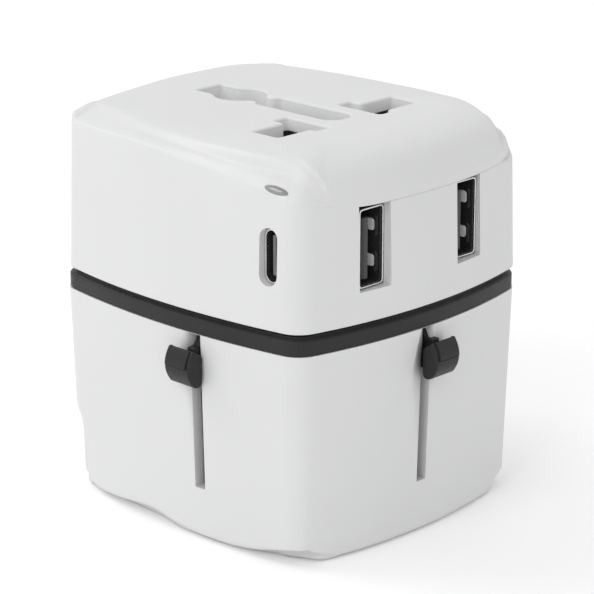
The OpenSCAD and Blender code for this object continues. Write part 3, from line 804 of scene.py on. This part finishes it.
def make_housing():
    shape = Shape()
    bottom_z, top = BELT_EDGE + 0.5, KNEE + SEAM_ROWS

    def level(s, v):
        """Row value v to a height: above the knee the rows fan out up to the seam."""
        if v <= KNEE:
            return v
        f = angle_at(s)
        return KNEE + (v - KNEE) / SEAM_ROWS * (seam_at(f) - gap(f) - KNEE)

    def lift(s, v):
        f = angle_at(s)
        z = level(s, v)
        round_in = edge_round(v - bottom_z, SHOULDER)
        # rounded shoulder where the lid stands in
        if tuck_at(f):
            round_in += edge_round(level(s, top) - z, tuck_at(f))
        return wall_point(f, z, lean(z) + slim(f) + round_in)

    holes, walls = [], []
    for x in PORT_X.values():
        a, b = arc_on("front", x - RECESS_W), arc_on("front", x + RECESS_W)
        low = PORT_Z - RECESS_DOWN
        loop = [(a, top + 0.4), (a, low + 0.25), (a + 0.06, low + 0.1), (a + 0.2, low),
                (b - 0.2, low), (b - 0.06, low + 0.1), (b, low + 0.25), (b, top + 0.4)]
        holes.append(anticlockwise(loop))
        outer = [lift(s, v) for s, v in [(a, top)] + loop[1:-1] + [(b, top)]]
        deep = PORT_Y + RECESS_STEP
        inner = [Vector((p.x, deep, p.z)) for p in outer]
        # ledge from the recess wall to the metal shell
        ledge = [Vector((min(x + A_SHELL_X, max(x - A_SHELL_X, p.x)), deep,
                         min(PORT_Z + A_SHELL_Z, max(PORT_Z - A_SHELL_Z, p.z)))) for p in inner]
        behind = [Vector((p.x, p.y + 3, p.z)) for p in ledge]
        walls += [[outer, inner], [inner, ledge], [ledge, behind]]
    c_path = [(arc_on("left", C_Y + y), C_Z + z) for z, y in stadium(*C_RECESS)]
    holes.append(anticlockwise(c_path))
    c_outer = [lift(s, v) for s, v in c_path]
    c_inner = [Vector((C_X + C_STEP, p.y, p.z)) for p in c_outer]
    c_shell = [Vector((C_X + C_STEP, C_Y + y, C_Z + z)) for z, y in stadium(*C_OPENING)]
    c_behind = [p + Vector((3, 0, 0)) for p in c_shell]
    us = arc_grid(2.0, 0.5)
    vs = [bottom_z, bottom_z + 0.05, bottom_z + 0.12, bottom_z + 0.22, bottom_z + SHOULDER]
    vs += [43.2 + 2.3 * k for k in range(6)]
    vs += [KNEE, KNEE + 0.5, KNEE + 1.0, KNEE + 1.25, KNEE + 1.35, KNEE + 1.42, KNEE + 1.47, top]
    shape.sheet(us, vs, holes, lift)
    for rows in walls:
        shape.rings(rows, closed=False)
    shape.rings([c_outer, c_inner, c_shell, c_behind])
    # lips that turn in at the seam and at the belt
    lip = [angle_at(s) for s in us]
    seam_z = [seam_at(f) - gap(f) for f in lip]
    shape.rings([[wall_point(f, z, lean(z) + tuck_at(f) + slim(f)) for f, z in zip(lip, seam_z)],
                 [wall_point(f, z, lean(z) + tuck_at(f) + 1.1) for f, z in zip(lip, seam_z)]],
                closed=False)
    shape.rings([[wall_point(f, bottom_z, d) for f in lip] for d in (2.0, SHOULDER)], closed=False)
    make_piece(shape, "body_upper_housing", WHITE, "white_shell", "upper_housing", sharp=40)


make_housing()


# ---- belt ring
def make_belt():
    shape = Shape()
    angles = [angle_at(s) for s in arc_grid(1.6, 0.35)[:-1]]
    profile = [(2.3, BELT_Z + 0.02), (0.4, BELT_Z + 0.02), (0.22, BELT_Z + 0.08),
               (0.15, BELT_Z + 0.2)]
    profile += [(d, BELT_EDGE - z) for d, z in (
        (0.15, 0.85), (0.18, 0.72), (0.26, 0.62), (0.7, 0.35), (0.85, 0.28), (0.95, 0.18),
        (1.0, 0.02), (2.3, 0.02))]
    shape.rings([[wall_point(f, z, d) for f in angles] for d, z in profile + profile[:1]])
    make_piece(shape, "belt_trim_ring", TRIM, "black_trim", "belt_ring", sharp=60)


make_belt()

# ---- lower shell with the slider slots
SLOT_W, SLOT_LOW = 2.2, 9.1
SLOTS = {"front": (-0.6, Vector((0, 1, 0))), "left": (-7.0, Vector((1, 0, 0))),
         "back": (-8.5, Vector((0, -1, 0)))}
FOOT_TOP, FOOT_ROUND, LOW_KNEE, LOWER_IN = 2.5, 0.7, 6.2, 0.03
# height of the wall's lower edge: near the ground on the faces, raised at the corners
wall_low = curve([(-3, 0.3), (-2.3, 0.3), (-1.9, 1.3), (-1.3, 1.0), (-0.9, 0.6), (-0.56, 1.15),
                  (-0.2, 2.0), (-0.05, 1.35), (0.1, 0.75), (0.4, 0.45), (0.67, 0.8), (0.9, 1.9),
                  (1.05, 2.5), (1.9, 2.6), (2.03, 2.3), (2.13, 0.6), (2.3, 0.2), (3, 0.15)])


def relief(f, z):
    """Shallow hollow low on the back corner of the -X side."""
    if not on_left(f):
        return 0.0
    return 2.0 * smooth(1 - abs(station(f) + 1.4) / 0.75) * smooth((15.5 - z) / 8)


def make_lower():
    shape = Shape()
    top = BELT_Z - 0.02

    def lift(s, v):
        f = angle_at(s)
        round_in = edge_round(v - FOOT_TOP, FOOT_ROUND)
        z = v
        if v < LOW_KNEE:
            z = lerp(wall_low(station(f)), LOW_KNEE, (v - FOOT_TOP) / (LOW_KNEE - FOOT_TOP))
        return wall_point(f, z, LOWER_IN + lean(z) + round_in + relief(f, z))

    holes, walls = [], []
    for side, (centre, way) in SLOTS.items():
        a, b = sorted((arc_on(side, centre - SLOT_W / 2), arc_on(side, centre + SLOT_W / 2)))
        loop = [(a, top + 0.5), (a, SLOT_LOW + 0.2), (a + 0.06, SLOT_LOW + 0.06),
                (a + 0.2, SLOT_LOW), (b - 0.2, SLOT_LOW), (b - 0.06, SLOT_LOW + 0.06),
                (b, SLOT_LOW + 0.2), (b, top + 0.5)]
        holes.append(anticlockwise(loop))
        path = [(a, top), (a, 28), (a, 20)] + loop[1:-1] + [(b, 20), (b, 28), (b, top)]
        outer = [lift(s, v) for s, v in path]
        walls.append([[p + way * depth for p in outer] for depth in (0, 1.0, 2.0)])
    us = arc_grid(2.0, 0.5)
    vs = [FOOT_TOP, FOOT_TOP + 0.02, FOOT_TOP + 0.08, FOOT_TOP + 0.18, FOOT_TOP + 0.32,
          FOOT_TOP + 0.5, FOOT_TOP + FOOT_ROUND, 4.4] + [LOW_KNEE + 1.6 * k for k in range(8)]
    vs += [19.5 + 2.2 * k for k in range(7)] + [34.6, top]
    shape.sheet(us, vs, holes, lift)
    for rows in walls:
        shape.rings(rows, closed=False)
    lip = [angle_at(s) for s in us]
    shape.rings([[wall_point(f, top, d) for f in lip] for d in (LOWER_IN, 2.2)], closed=False)
    low = [wall_low(station(f)) for f in lip]
    shape.rings([[wall_point(f, z, 0.73 + lean(z) + relief(f, z)) for f, z in zip(lip, low)],
                 [wall_point(f, z, 4.3) for f, z in zip(lip, low)]], closed=False)
    make_piece(shape, "body_lower_shell", WHITE, "white_shell", "lower_shell", sharp=40)


make_lower()


# ---- foot plate
SCREW_X, SCREW_Y, SCREW_R, BOSS_R = 20.5, 21.5, 2.5, 5.2
FOOT_UP, HOLE_ROUND = FOOT_TOP + 0.3, 0.25
# openings: UK line and neutral pins, UK earth pin, EU pins, US blades with room to turn
UK_PIN_X, UK_PIN_Y, UK_HALF_X, UK_HALF_Y = 11.1, -13.6, 3.4, 2.2
EARTH_PIN_Y, EARTH_HALF_X, EARTH_HALF_Y = 8.6, 2.2, 4.2
EU_PIN_X, EU_PIN_Y, EU_HOLE_R = 9.5, -6.8, 2.3
BLADE_X, BLADE_Y, BLADE_R = 6.35, 0.2, 3.5


def make_foot():
    shape = Shape()
    angles = [angle_at(s) for s in arc_grid(1.6, 0.4)[:-1]]

    def ring(d, z):
        out = []
        for f in angles:
            x, y = outline(f, d)
            # drawn in towards the front corners, and beside the back of the -X side
            pull = 3.6 * smooth((-y - 11) / 15) + 0.5 * smooth(1 - abs(y + 22.8) / 1.5)
            if x > 0:
                pull *= 0.8
            else:
                pull += 1.3 * smooth((y + 2) / 9) * smooth((26 - y) / 3)
            x -= math.copysign(min(pull, abs(x)), x) * smooth(abs(x) / 12)
            y -= 0.55 + 0.8 * smooth((abs(x) - 13) / 6) * smooth((-y - 20) / 4)
            # the front corners stay round the screw heads
            boss = (BOSS_R - d) ** 2 - (y + SCREW_Y) ** 2
            if boss > 0 and abs(x) > SCREW_X:
                x = math.copysign(max(abs(x), SCREW_X + math.sqrt(boss)), x)
            out.append(Vector((x, y, z)))
        return out

    profile = [(2.65, 0.0), (2.35, 0.05), (2.15, 0.2), (2.02, 0.45), (2.0, 0.7), (2.0, FOOT_UP)]
    rows = [ring(d, z) for d, z in profile]
    shape.rings(rows)
    holes = []
    for s in (-1, 1):
        x = s * UK_PIN_X
        holes.append(rounded_rect(x - UK_HALF_X, x + UK_HALF_X, UK_PIN_Y - UK_HALF_Y,
                                  UK_PIN_Y + UK_HALF_Y, 0.3, 3))
        holes += [circle(s * EU_PIN_X, EU_PIN_Y, EU_HOLE_R, 9),
                  circle(s * BLADE_X, BLADE_Y, BLADE_R, 9)]
        holes += [circle(s * SCREW_X, t * SCREW_Y, SCREW_R, 12) for t in (-1, 1)]
    holes.append(rounded_rect(-EARTH_HALF_X, EARTH_HALF_X, EARTH_PIN_Y - EARTH_HALF_Y,
                              EARTH_PIN_Y + EARTH_HALF_Y, 0.3, 3))
    edges = []
    for hole in holes:
        hole_rows = []
        for a in (90, 60, 30, 0):
            a = math.radians(a)
            hole_rows.append([(x, y, HOLE_ROUND * (1 - math.sin(a)))
                              for x, y in offset(hole, HOLE_ROUND * (1 - math.cos(a)))])
        hole_rows.append([(x, y, FOOT_UP) for x, y in hole])
        shape.rings(hole_rows)
        edges.append((hole_rows[0], hole_rows[-1]))
    shape.flat(rows[0], [e[0] for e in edges], 0.0)
    shape.flat(rows[-1], [e[1] for e in edges], FOOT_UP)
    make_piece(shape, "body_foot_plate", WHITE, "white_shell", "base_plate", sharp=45)


make_foot()


# ---- USB-A ports
def make_usb_a(side):
    low, high = USB_A[side]
    cx, y0, y1 = PORT_X[side], low.y, high.y
    hx, hz = (high.x - low.x) / 2, (high.z - low.z) / 2

    def place(points, y):
        return [Vector((cx + x, y, PORT_Z + z)) for x, z in points]

    def loop(shrink, r, y):
        return place(rounded_rect(shrink - hx, hx - shrink, shrink - hz, hz - shrink, r), y)

    def bar(x0, x1, z0, z1, y, r):
        return place(rounded_rect(x0, x1, z0, z1, r, 3), y)

    shape = Shape()
    rows = [loop(shrink, r, y) for shrink, r, y in (
        (0, 0.75, y1), (0, 0.75, y0 + 0.08), (0.05, 0.72, y0 + 0.01), (0.15, 0.65, y0),
        (0.25, 0.6, y0 + 0.01), (0.3, 0.55, y0 + 0.08), (0.3, 0.55, y1))]
    shape.rings(rows + rows[:1])
    make_piece(shape, "usb_a_metal_shell_" + side, PORT_STEEL, "port_steel",
               "usb_a_shell_" + side, sharp=60)
    # dark sleeve just inside the mouth, with its back wall: painted shade for the shadowed inside
    # of the port
    shape = Shape()
    inner = [loop(0.32, 0.5, y0 + 0.35), loop(0.4, 0.45, y0 + 0.4), loop(0.42, 0.45, y1 - 0.5)]
    shape.rings(inner, cap_last=True)
    make_piece(shape, "usb_a_painted_shade_sleeve_" + side, PORT_PAINTED_SHADE_LINER, "port_plastic", sharp=45)
    # tongue with a rounded nose, its moulded rear block
    t_low, t_high = box_mm("usb_a_contacts_" + side)
    shape = Shape()
    shape.solid([bar(-0.5, 0.16, -5.45, 4.55, y0 + 1.0, 0.15),
                 bar(-0.62, 0.28, -5.55, 4.65, y0 + 1.1, 0.2),
                 bar(-0.9, 0.32, -5.6, 4.7, y0 + 1.4, 0.3),
                 bar(-1.15, 0.32, -5.6, 4.7, y0 + 8.9, 0.3),
                 bar(-2.3, 2.3, -6.0, 6.0, y0 + 8.92, 0.3),
                 bar(-2.3, 2.3, -6.0, 6.0, y1 - 0.5, 0.3)])
    make_piece(shape, "usb_a_tongue_bar_" + side, TONGUE, "port_plastic", "usb_a_tongue_" + side)
    # four sprung contact strips, bowed up from the tongue
    shape = Shape()
    for z in (-3.5, -1.0, 1.0, 3.5):
        rows = []
        for k in range(13):
            t = k / 12
            y = lerp(t_low.y, t_high.y, t)
            x = cx + 0.38 + 0.17 * math.sin(math.pi * t)
            w = 0.5 - 0.2 * smooth(1 - t / 0.25)
            rows.append([Vector((x + a, y, PORT_Z + z + b))
                         for a, b in ((0, -w), (0.03, -w), (0.03, w), (0, w))])
        shape.solid(rows)
    make_piece(shape, "usb_a_contact_strips_" + side, GOLD, "gold_contact",
               "usb_a_contacts_" + side, sharp=40)
    # two sprung tabs on each wide wall of the shell: a bent arm coloured near black as painted
    # shade and a contact pad coloured near white as a painted highlight, both standing for the same
    # steel tab
    for part in ("pads", "arms"):
        shape = Shape()
        for s in (-1, 1):
            for z in (-3.16, 2.78):
                wall = cx + s * (hx - 0.44)
                if part == "pads":
                    flat, slope = rounded_rect(1.65, 4.2, -1.0, 1.0, 0.6), 0.06
                else:
                    flat, slope = anticlockwise(rounded(
                        [(0.95, -1.35), (1.25, -1.8), (1.55, -1.8), (1.4, -1.1), (1.4, 1.1),
                         (1.55, 1.6), (1.3, 1.6), (0.95, 1.1)], 0.15, 3)), 0.04
                back = [Vector((wall, y0 + a, PORT_Z + z + b)) for a, b in flat]
                front = [Vector((wall - s * (0.08 + slope * (a - 1.2)), y0 + a,
                                 PORT_Z + z + b * 0.92)) for a, b in flat]
                shape.solid([back, front])
        make_piece(shape, "usb_a_spring_%s_%s" % (part, side), SPRING_PAD_PAINTED_HIGHLIGHT if part == "pads" else SPRING_ARM_PAINTED_SHADE,
                   "port_steel", sharp=30)


for port_side in ("left", "right"):
    make_usb_a(port_side)


# ---- USB-C port
def make_usb_c():
    def loop(length, width, x):
        return [Vector((x, C_Y + y, C_Z + z)) for z, y in stadium(length, width)]

    def bar(hy, hz, x, r):
        return [Vector((x, C_Y + y, C_Z + z)) for y, z in rounded_rect(-hy, hy, -hz, hz, r, 3)]

    x0, x1 = C_X, C_HIGH.x
    shape = Shape()
    rows = [loop(8.94, 3.16, x1), loop(8.94, 3.16, x0 + 0.08), loop(8.88, 3.1, x0 + 0.02),
            loop(8.74, 2.96, x0), loop(8.5, 2.72, x0), loop(8.38, 2.6, x0 + 0.02),
            loop(8.34, 2.56, x0 + 0.08), loop(8.34, 2.56, x1)]
    shape.rings(rows + rows[:1])
    make_piece(shape, "usb_c_metal_shell", PORT_STEEL, "port_steel", "usb_c_shell", sharp=60)
    # dark sleeve inside the mouth, with its back wall: painted shade for the shadowed inside of the
    # port
    shape = Shape()
    rows = [loop(8.32, 2.54, x0 + 0.5), loop(8.2, 2.42, x0 + 0.6), loop(8.16, 2.38, x1 - 0.6)]
    shape.rings(rows, cap_last=True)
    make_piece(shape, "usb_c_painted_shade_sleeve", PORT_PAINTED_SHADE_LINER, "port_plastic", sharp=45)
    shape = Shape()
    shape.solid([bar(0.2, 3.05, x0 + 0.55, 0.12), bar(0.33, 3.25, x0 + 0.62, 0.15),
                 bar(0.35, 3.3, x0 + 0.8, 0.15), bar(0.35, 3.3, x0 + 5.3, 0.15),
                 bar(1.0, 3.7, x0 + 5.35, 0.3), bar(1.0, 3.7, x1 - 0.6, 0.3)])
    make_piece(shape, "usb_c_tongue_bar", C_TONGUE, "port_plastic", "usb_c_tongue")
    shape = Shape()
    for s in (-1, 1):
        for k in range(12):
            z = C_Z + (k - 5.5) * 0.5
            y = C_Y + s * 0.35
            strip = rounded_rect(1.4, 4.6, -0.13, 0.13, 0.06, 2)
            back = [Vector((x0 + a, y, z + b)) for a, b in strip]
            shape.solid([back, [p + Vector((0, s * 0.03, 0)) for p in back]])
    make_piece(shape, "usb_c_contact_strips", GOLD, "gold_contact")


make_usb_c()


# ---- indicator lens, set into the scoop
LENS_L, LENS_W, LENS_SHIFT, LENS_TURN, LENS_FALL, LENS_DOWN = 4.2, 1.35, 0.3, 0.24, -0.17, 0.55


def make_lens():
    """Oval light window that follows the scoop, its long axis level with the side."""
    skin = BVHTree.FromPolygons([v.co / MM for v in LID.data.vertices],
                                [tuple(p.vertices) for p in LID.data.polygons])
    low, high = box_mm("led_lens")
    middle = (low + high) / 2 + Vector((0, LENS_SHIFT, -LENS_DOWN))
    along = Vector((LENS_TURN, -1, LENS_FALL)).normalized()
    middle, out = skin.ray_cast(middle + Vector((-8, 0, 0)), Vector((1, 0, 0)), 20)[:2]
    out = (out - along * out.dot(along)).normalized()
    if out.x > 0:
        out = -out
    up = along.cross(out)
    if up.z < 0:
        up = -up

    def on_skin(a, b, height):
        start = middle + along * a + up * b + out * 3
        return skin.ray_cast(start, -out, 8)[0] + out * height

    def rows(*sizes):
        return [[on_skin(a, b, height) for a, b in oval(LENS_L - shorter, LENS_W - slimmer)]
                for shorter, slimmer, height in sizes]

    shape = Shape()
    shape.rings(rows((0, 0, -0.6), (0, 0, 0.05), (0.1, 0.1, 0.12), (0.3, 0.3, 0.15),
                     (1.9, 0.85, 0.14)), cap_first=True)
    make_piece(shape, "indicator_lens_rim", LENS_RIM, "led_diffuser", "led_lens", sharp=40)
    # lighter strip along the middle of the lens: a painted highlight
    shape = Shape()
    shape.rings(rows((1.8, 0.85, 0.1), (2.1, 1.0, 0.18)), cap_last=True)
    make_piece(shape, "indicator_lens_painted_highlight", LENS_PAINTED_HIGHLIGHT, "led_diffuser", sharp=0)


make_lens()


# ---- slider knobs
KNOB_DEPTH, KNOB_LOW, KNOB_TOP, KNOB_LENGTH, KNOB_RIDGE = 3.2, -3.0, 3.4, 5.5, 0.5
KNOB_Z, KNOB_EDGE, TOP_BACK = 30.4, 0.3, 0.34


def knob_face(z):
    """How far the knob's face stands out from the wall at height z above its middle."""
    if z > KNOB_RIDGE:
        return KNOB_DEPTH - 1.05 * ((z - KNOB_RIDGE) / (KNOB_TOP - KNOB_RIDGE)) ** 2
    return KNOB_DEPTH - 1.65 * ((KNOB_RIDGE - z) / (KNOB_RIDGE - KNOB_LOW)) ** 2


def knob_profile(inset, step_back):
    """Side outline of a knob from its lower back edge round the face to its upper back edge."""
    points = [(d, KNOB_LOW + z) for d, z in ((0.0, 0.6), (0.15, 0.22), (0.45, 0.03), (0.8, 0),
                                             (1.2, 0.1), (1.6, 0.27))]
    for k in range(19):
        z = lerp(KNOB_LOW + 0.5, KNOB_TOP - 0.12, k / 18)
        points.append((knob_face(z) - (step_back if z > KNOB_RIDGE else 0), z))
    reach = knob_face(KNOB_TOP) - step_back
    points += [(d, KNOB_TOP - z) for d, z in ((reach - 0.03, 0.05), (reach - 0.14, 0.03),
                                              (0.5, 0.75), (0.15, 1.0), (0.0, 1.4))]
    return [(d * (1 - inset / KNOB_DEPTH), z * (1 - inset / KNOB_TOP)) for d, z in points]


def make_knob(name, node, body, base, out, along, neck_at):
    """Thumb piece with a flat top: base is the foot of its near or left end, out points away
    from the wall, and neck_at says where along it the slot lies."""
    up = Vector((0, 0, 1))
    shape = Shape()
    ends = ((0, 1), (0.06, 0.6), (0.15, 0.25), (KNOB_EDGE, 0))
    stops = list(ends) + [(KNOB_LENGTH - t, part) for t, part in reversed(ends)]
    loops = [[base + along * t + out * d + up * z
              for d, z in knob_profile(KNOB_EDGE * part, TOP_BACK)] for t, part in stops]
    shape.solid(loops)
    make_piece(shape, name, TRIM, "black_trim", node, body=body, sharp=30)
    # thumb face over the upper half: a raised cheek that stops short of the first end
    shape = Shape()
    start, end = 0.75, KNOB_LENGTH - 0.05
    rise = [[base + along * t + out * (knob_face(z) + lift) + up * z
             for z in (lerp(KNOB_RIDGE + 0.02, KNOB_TOP, k / 16) for k in range(17))]
            for t, lift in ((start, -0.4), (start, -0.08), (start + 0.07, -0.02),
                            (start + 0.2, 0.0), (end - 0.2, 0.0), (end - 0.07, -0.03),
                            (end, -0.1), (end, -0.5))]
    shape.rings(rise, closed=False)
    shape.rings([[row[0] for row in rise], [row[0] - out * 0.4 for row in rise]], closed=False)
    shape.rings([[row[-1] for row in rise], [row[-1] - out * 0.6 - up * 0.2 for row in rise]],
                closed=False)
    make_piece(shape, name + "_thumb_face", TRIM, "black_trim", body=body, sharp=30)
    # neck through the slot and the small nub above it
    shape = Shape()
    side = along * (SLOT_W / 2 - 0.25)
    slot_mid = base + along * neck_at
    for z0, z1, front0, front1, back, w in ((-1.8, 1.8, 0.1, 0.1, -2.0, 1.0),
                                            (1.8, 3.5, 0.9, 0.75, -1.6, 0.92),
                                            (3.0, 5.0, -0.5, -1.6, -2.0, 1.0)):
        ends = [[slot_mid + side * (w * sx) + out * d + up * z
                 for sx, d in ((-1, front), (1, front), (1, back), (-1, back))]
                for z, front in ((z0, front0), (z1, front1))]
        shape.solid(ends)
    make_piece(shape, name + "_neck", TRIM, "black_trim", body=body, sharp=30, bevel=0.15)


UK_AT, EU_AT, US_AT = (box_mm(node)[0] for node in ("uk_knob", "eu_knob", "us_knob"))
US_BACK = box_mm("us_knob")[1].y
X_AXIS, Y_AXIS = Vector((1, 0, 0)), Vector((0, 1, 0))
make_knob("knob_front", "uk_knob", "uk_plug", Vector((UK_AT.x - 0.2, UK_AT.y + KNOB_DEPTH, KNOB_Z)),
          -Y_AXIS, X_AXIS, 2.3)
make_knob("knob_side", "eu_knob", "eu_plug", Vector((EU_AT.x + KNOB_DEPTH, EU_AT.y - 0.5, KNOB_Z)),
          -X_AXIS, Y_AXIS, 1.8)
make_knob("knob_back", "us_knob", "us_plug", Vector((US_AT.x - 0.5, US_BACK - KNOB_DEPTH, KNOB_Z)),
          Y_AXIS, X_AXIS, 3.0)

# ---- finish of the CAD pieces that stay: material, slot, edge radius, nodes
KEPT = [
    (DARK, "dark_insulator", 0.25, ["mid_deck", "socket_block"]),
    (SHUTTER, "shutter_plastic", 0.15, ["safety_shutter"]),
    (BRASS, "contact_brass", 0.08, ["line_contact", "neutral_contact", "earth_contact", "line_bus",
                                    "neutral_bus", "earth_bus"]),
    (SPRING, "spring_steel", 0.0, ["shutter_spring"]),
    (BOARD, "circuit_board", 0.1, ["charger_board", "usb_c_board"]),
    (LED_DIE, "led_die", 0.08, ["indicator_led"]),
    (FERRITE, "ferrite", 0.25, ["transformer_core", "choke"]),
    (WINDING, "winding_wire", 0.2, ["transformer_winding"]),
    (SLEEVE, "capacitor_sleeve", 0.35, ["bulk_capacitor"]),
    (CERAMIC, "fuse_ceramic", 0.1, ["fuse_body"]),
    (FUSE_METAL, "fuse_metal", 0.1, ["fuse_caps", "fuse_clips"]),
    (SCREW, "screw_steel", 0.1, ["case_screws"]),
    (CARRIAGE, "carriage_plastic", 0.2, ["uk_carriage", "eu_carriage", "us_carriage"]),
    (PIN_BRASS, "pin_brass", 0.25, ["uk_line_pin", "uk_neutral_pin", "uk_earth_pin"]),
    (PIN_NICKEL, "pin_nickel", 0.15, ["eu_pin_left", "eu_pin_right", "us_blade_left",
                                      "us_blade_right"]),
]
for material, slot_name, edge_mm, names in KEPT:
    for n in names:
        piece = nodes[n]
        piece.data.materials.clear()
        piece.data.materials.append(material)
        if edge_mm:
            add_bevel(piece, edge_mm, 2)
        weigh_normals(piece)

# ---- floor, light and camera
floor_mesh = bpy.data.meshes.new("floor")
floor_bm = bmesh.new()
bmesh.ops.create_grid(floor_bm, x_segments=8, y_segments=8, size=6.0)
floor_bm.to_mesh(floor_mesh)
floor_bm.free()
floor = add_object("floor", floor_mesh)
floor_material, floor_tree, floor_shader = new_material("floor_paper")
paper = noise_node(floor_tree, 8.0, 3.0)
floor_tree.links.new(colour_mix(floor_tree, paper, 0.90, 0.915), floor_shader.inputs["Base Color"])
set_inputs(floor_shader, {"Roughness": 0.9, "Emission Color": (1, 1, 1, 1),
                          "Emission Strength": 0.09, "Specular IOR Level": 0.1})
floor.data.materials.append(floor_material)
floor.location.z = -0.0002

world = bpy.data.worlds.new("studio")
bpy.context.scene.world = world
world.use_nodes = True
set_inputs(world.node_tree.nodes["Background"], {"Color": (1, 1, 1, 1), "Strength": 0.84})
LIGHT_AIM = Vector((0, 0, 0.03))


def soft_light(name, place, power, size=0.6):
    data = bpy.data.lights.new(name, "AREA")
    data.shape = "RECTANGLE"
    data.size = data.size_y = size
    data.energy = power
    lamp = add_object(name, data)
    lamp.location = place
    lamp.rotation_euler = (LIGHT_AIM - lamp.location).to_track_quat("-Z", "Y").to_euler()


soft_light("key_softbox", (-0.88, -0.12, 0.72), 2.7)
soft_light("back_softbox", (-0.30, 0.75, 0.95), 3.2)

camera_data = bpy.data.cameras.new("camera")
camera_data.sensor_width = 36
camera_data.lens = 157.24
camera = add_object("camera", camera_data)
camera.location = (-0.30064, -0.29307, 0.17002)
CAMERA_DOWN, CAMERA_TURN = 17.97, -45.87  # degrees below level, and from facing +Y
camera.rotation_euler = (math.radians(90 - CAMERA_DOWN), 0, math.radians(CAMERA_TURN))
bpy.context.scene.camera = camera
bpy.context.scene.view_settings.view_transform = "Standard"
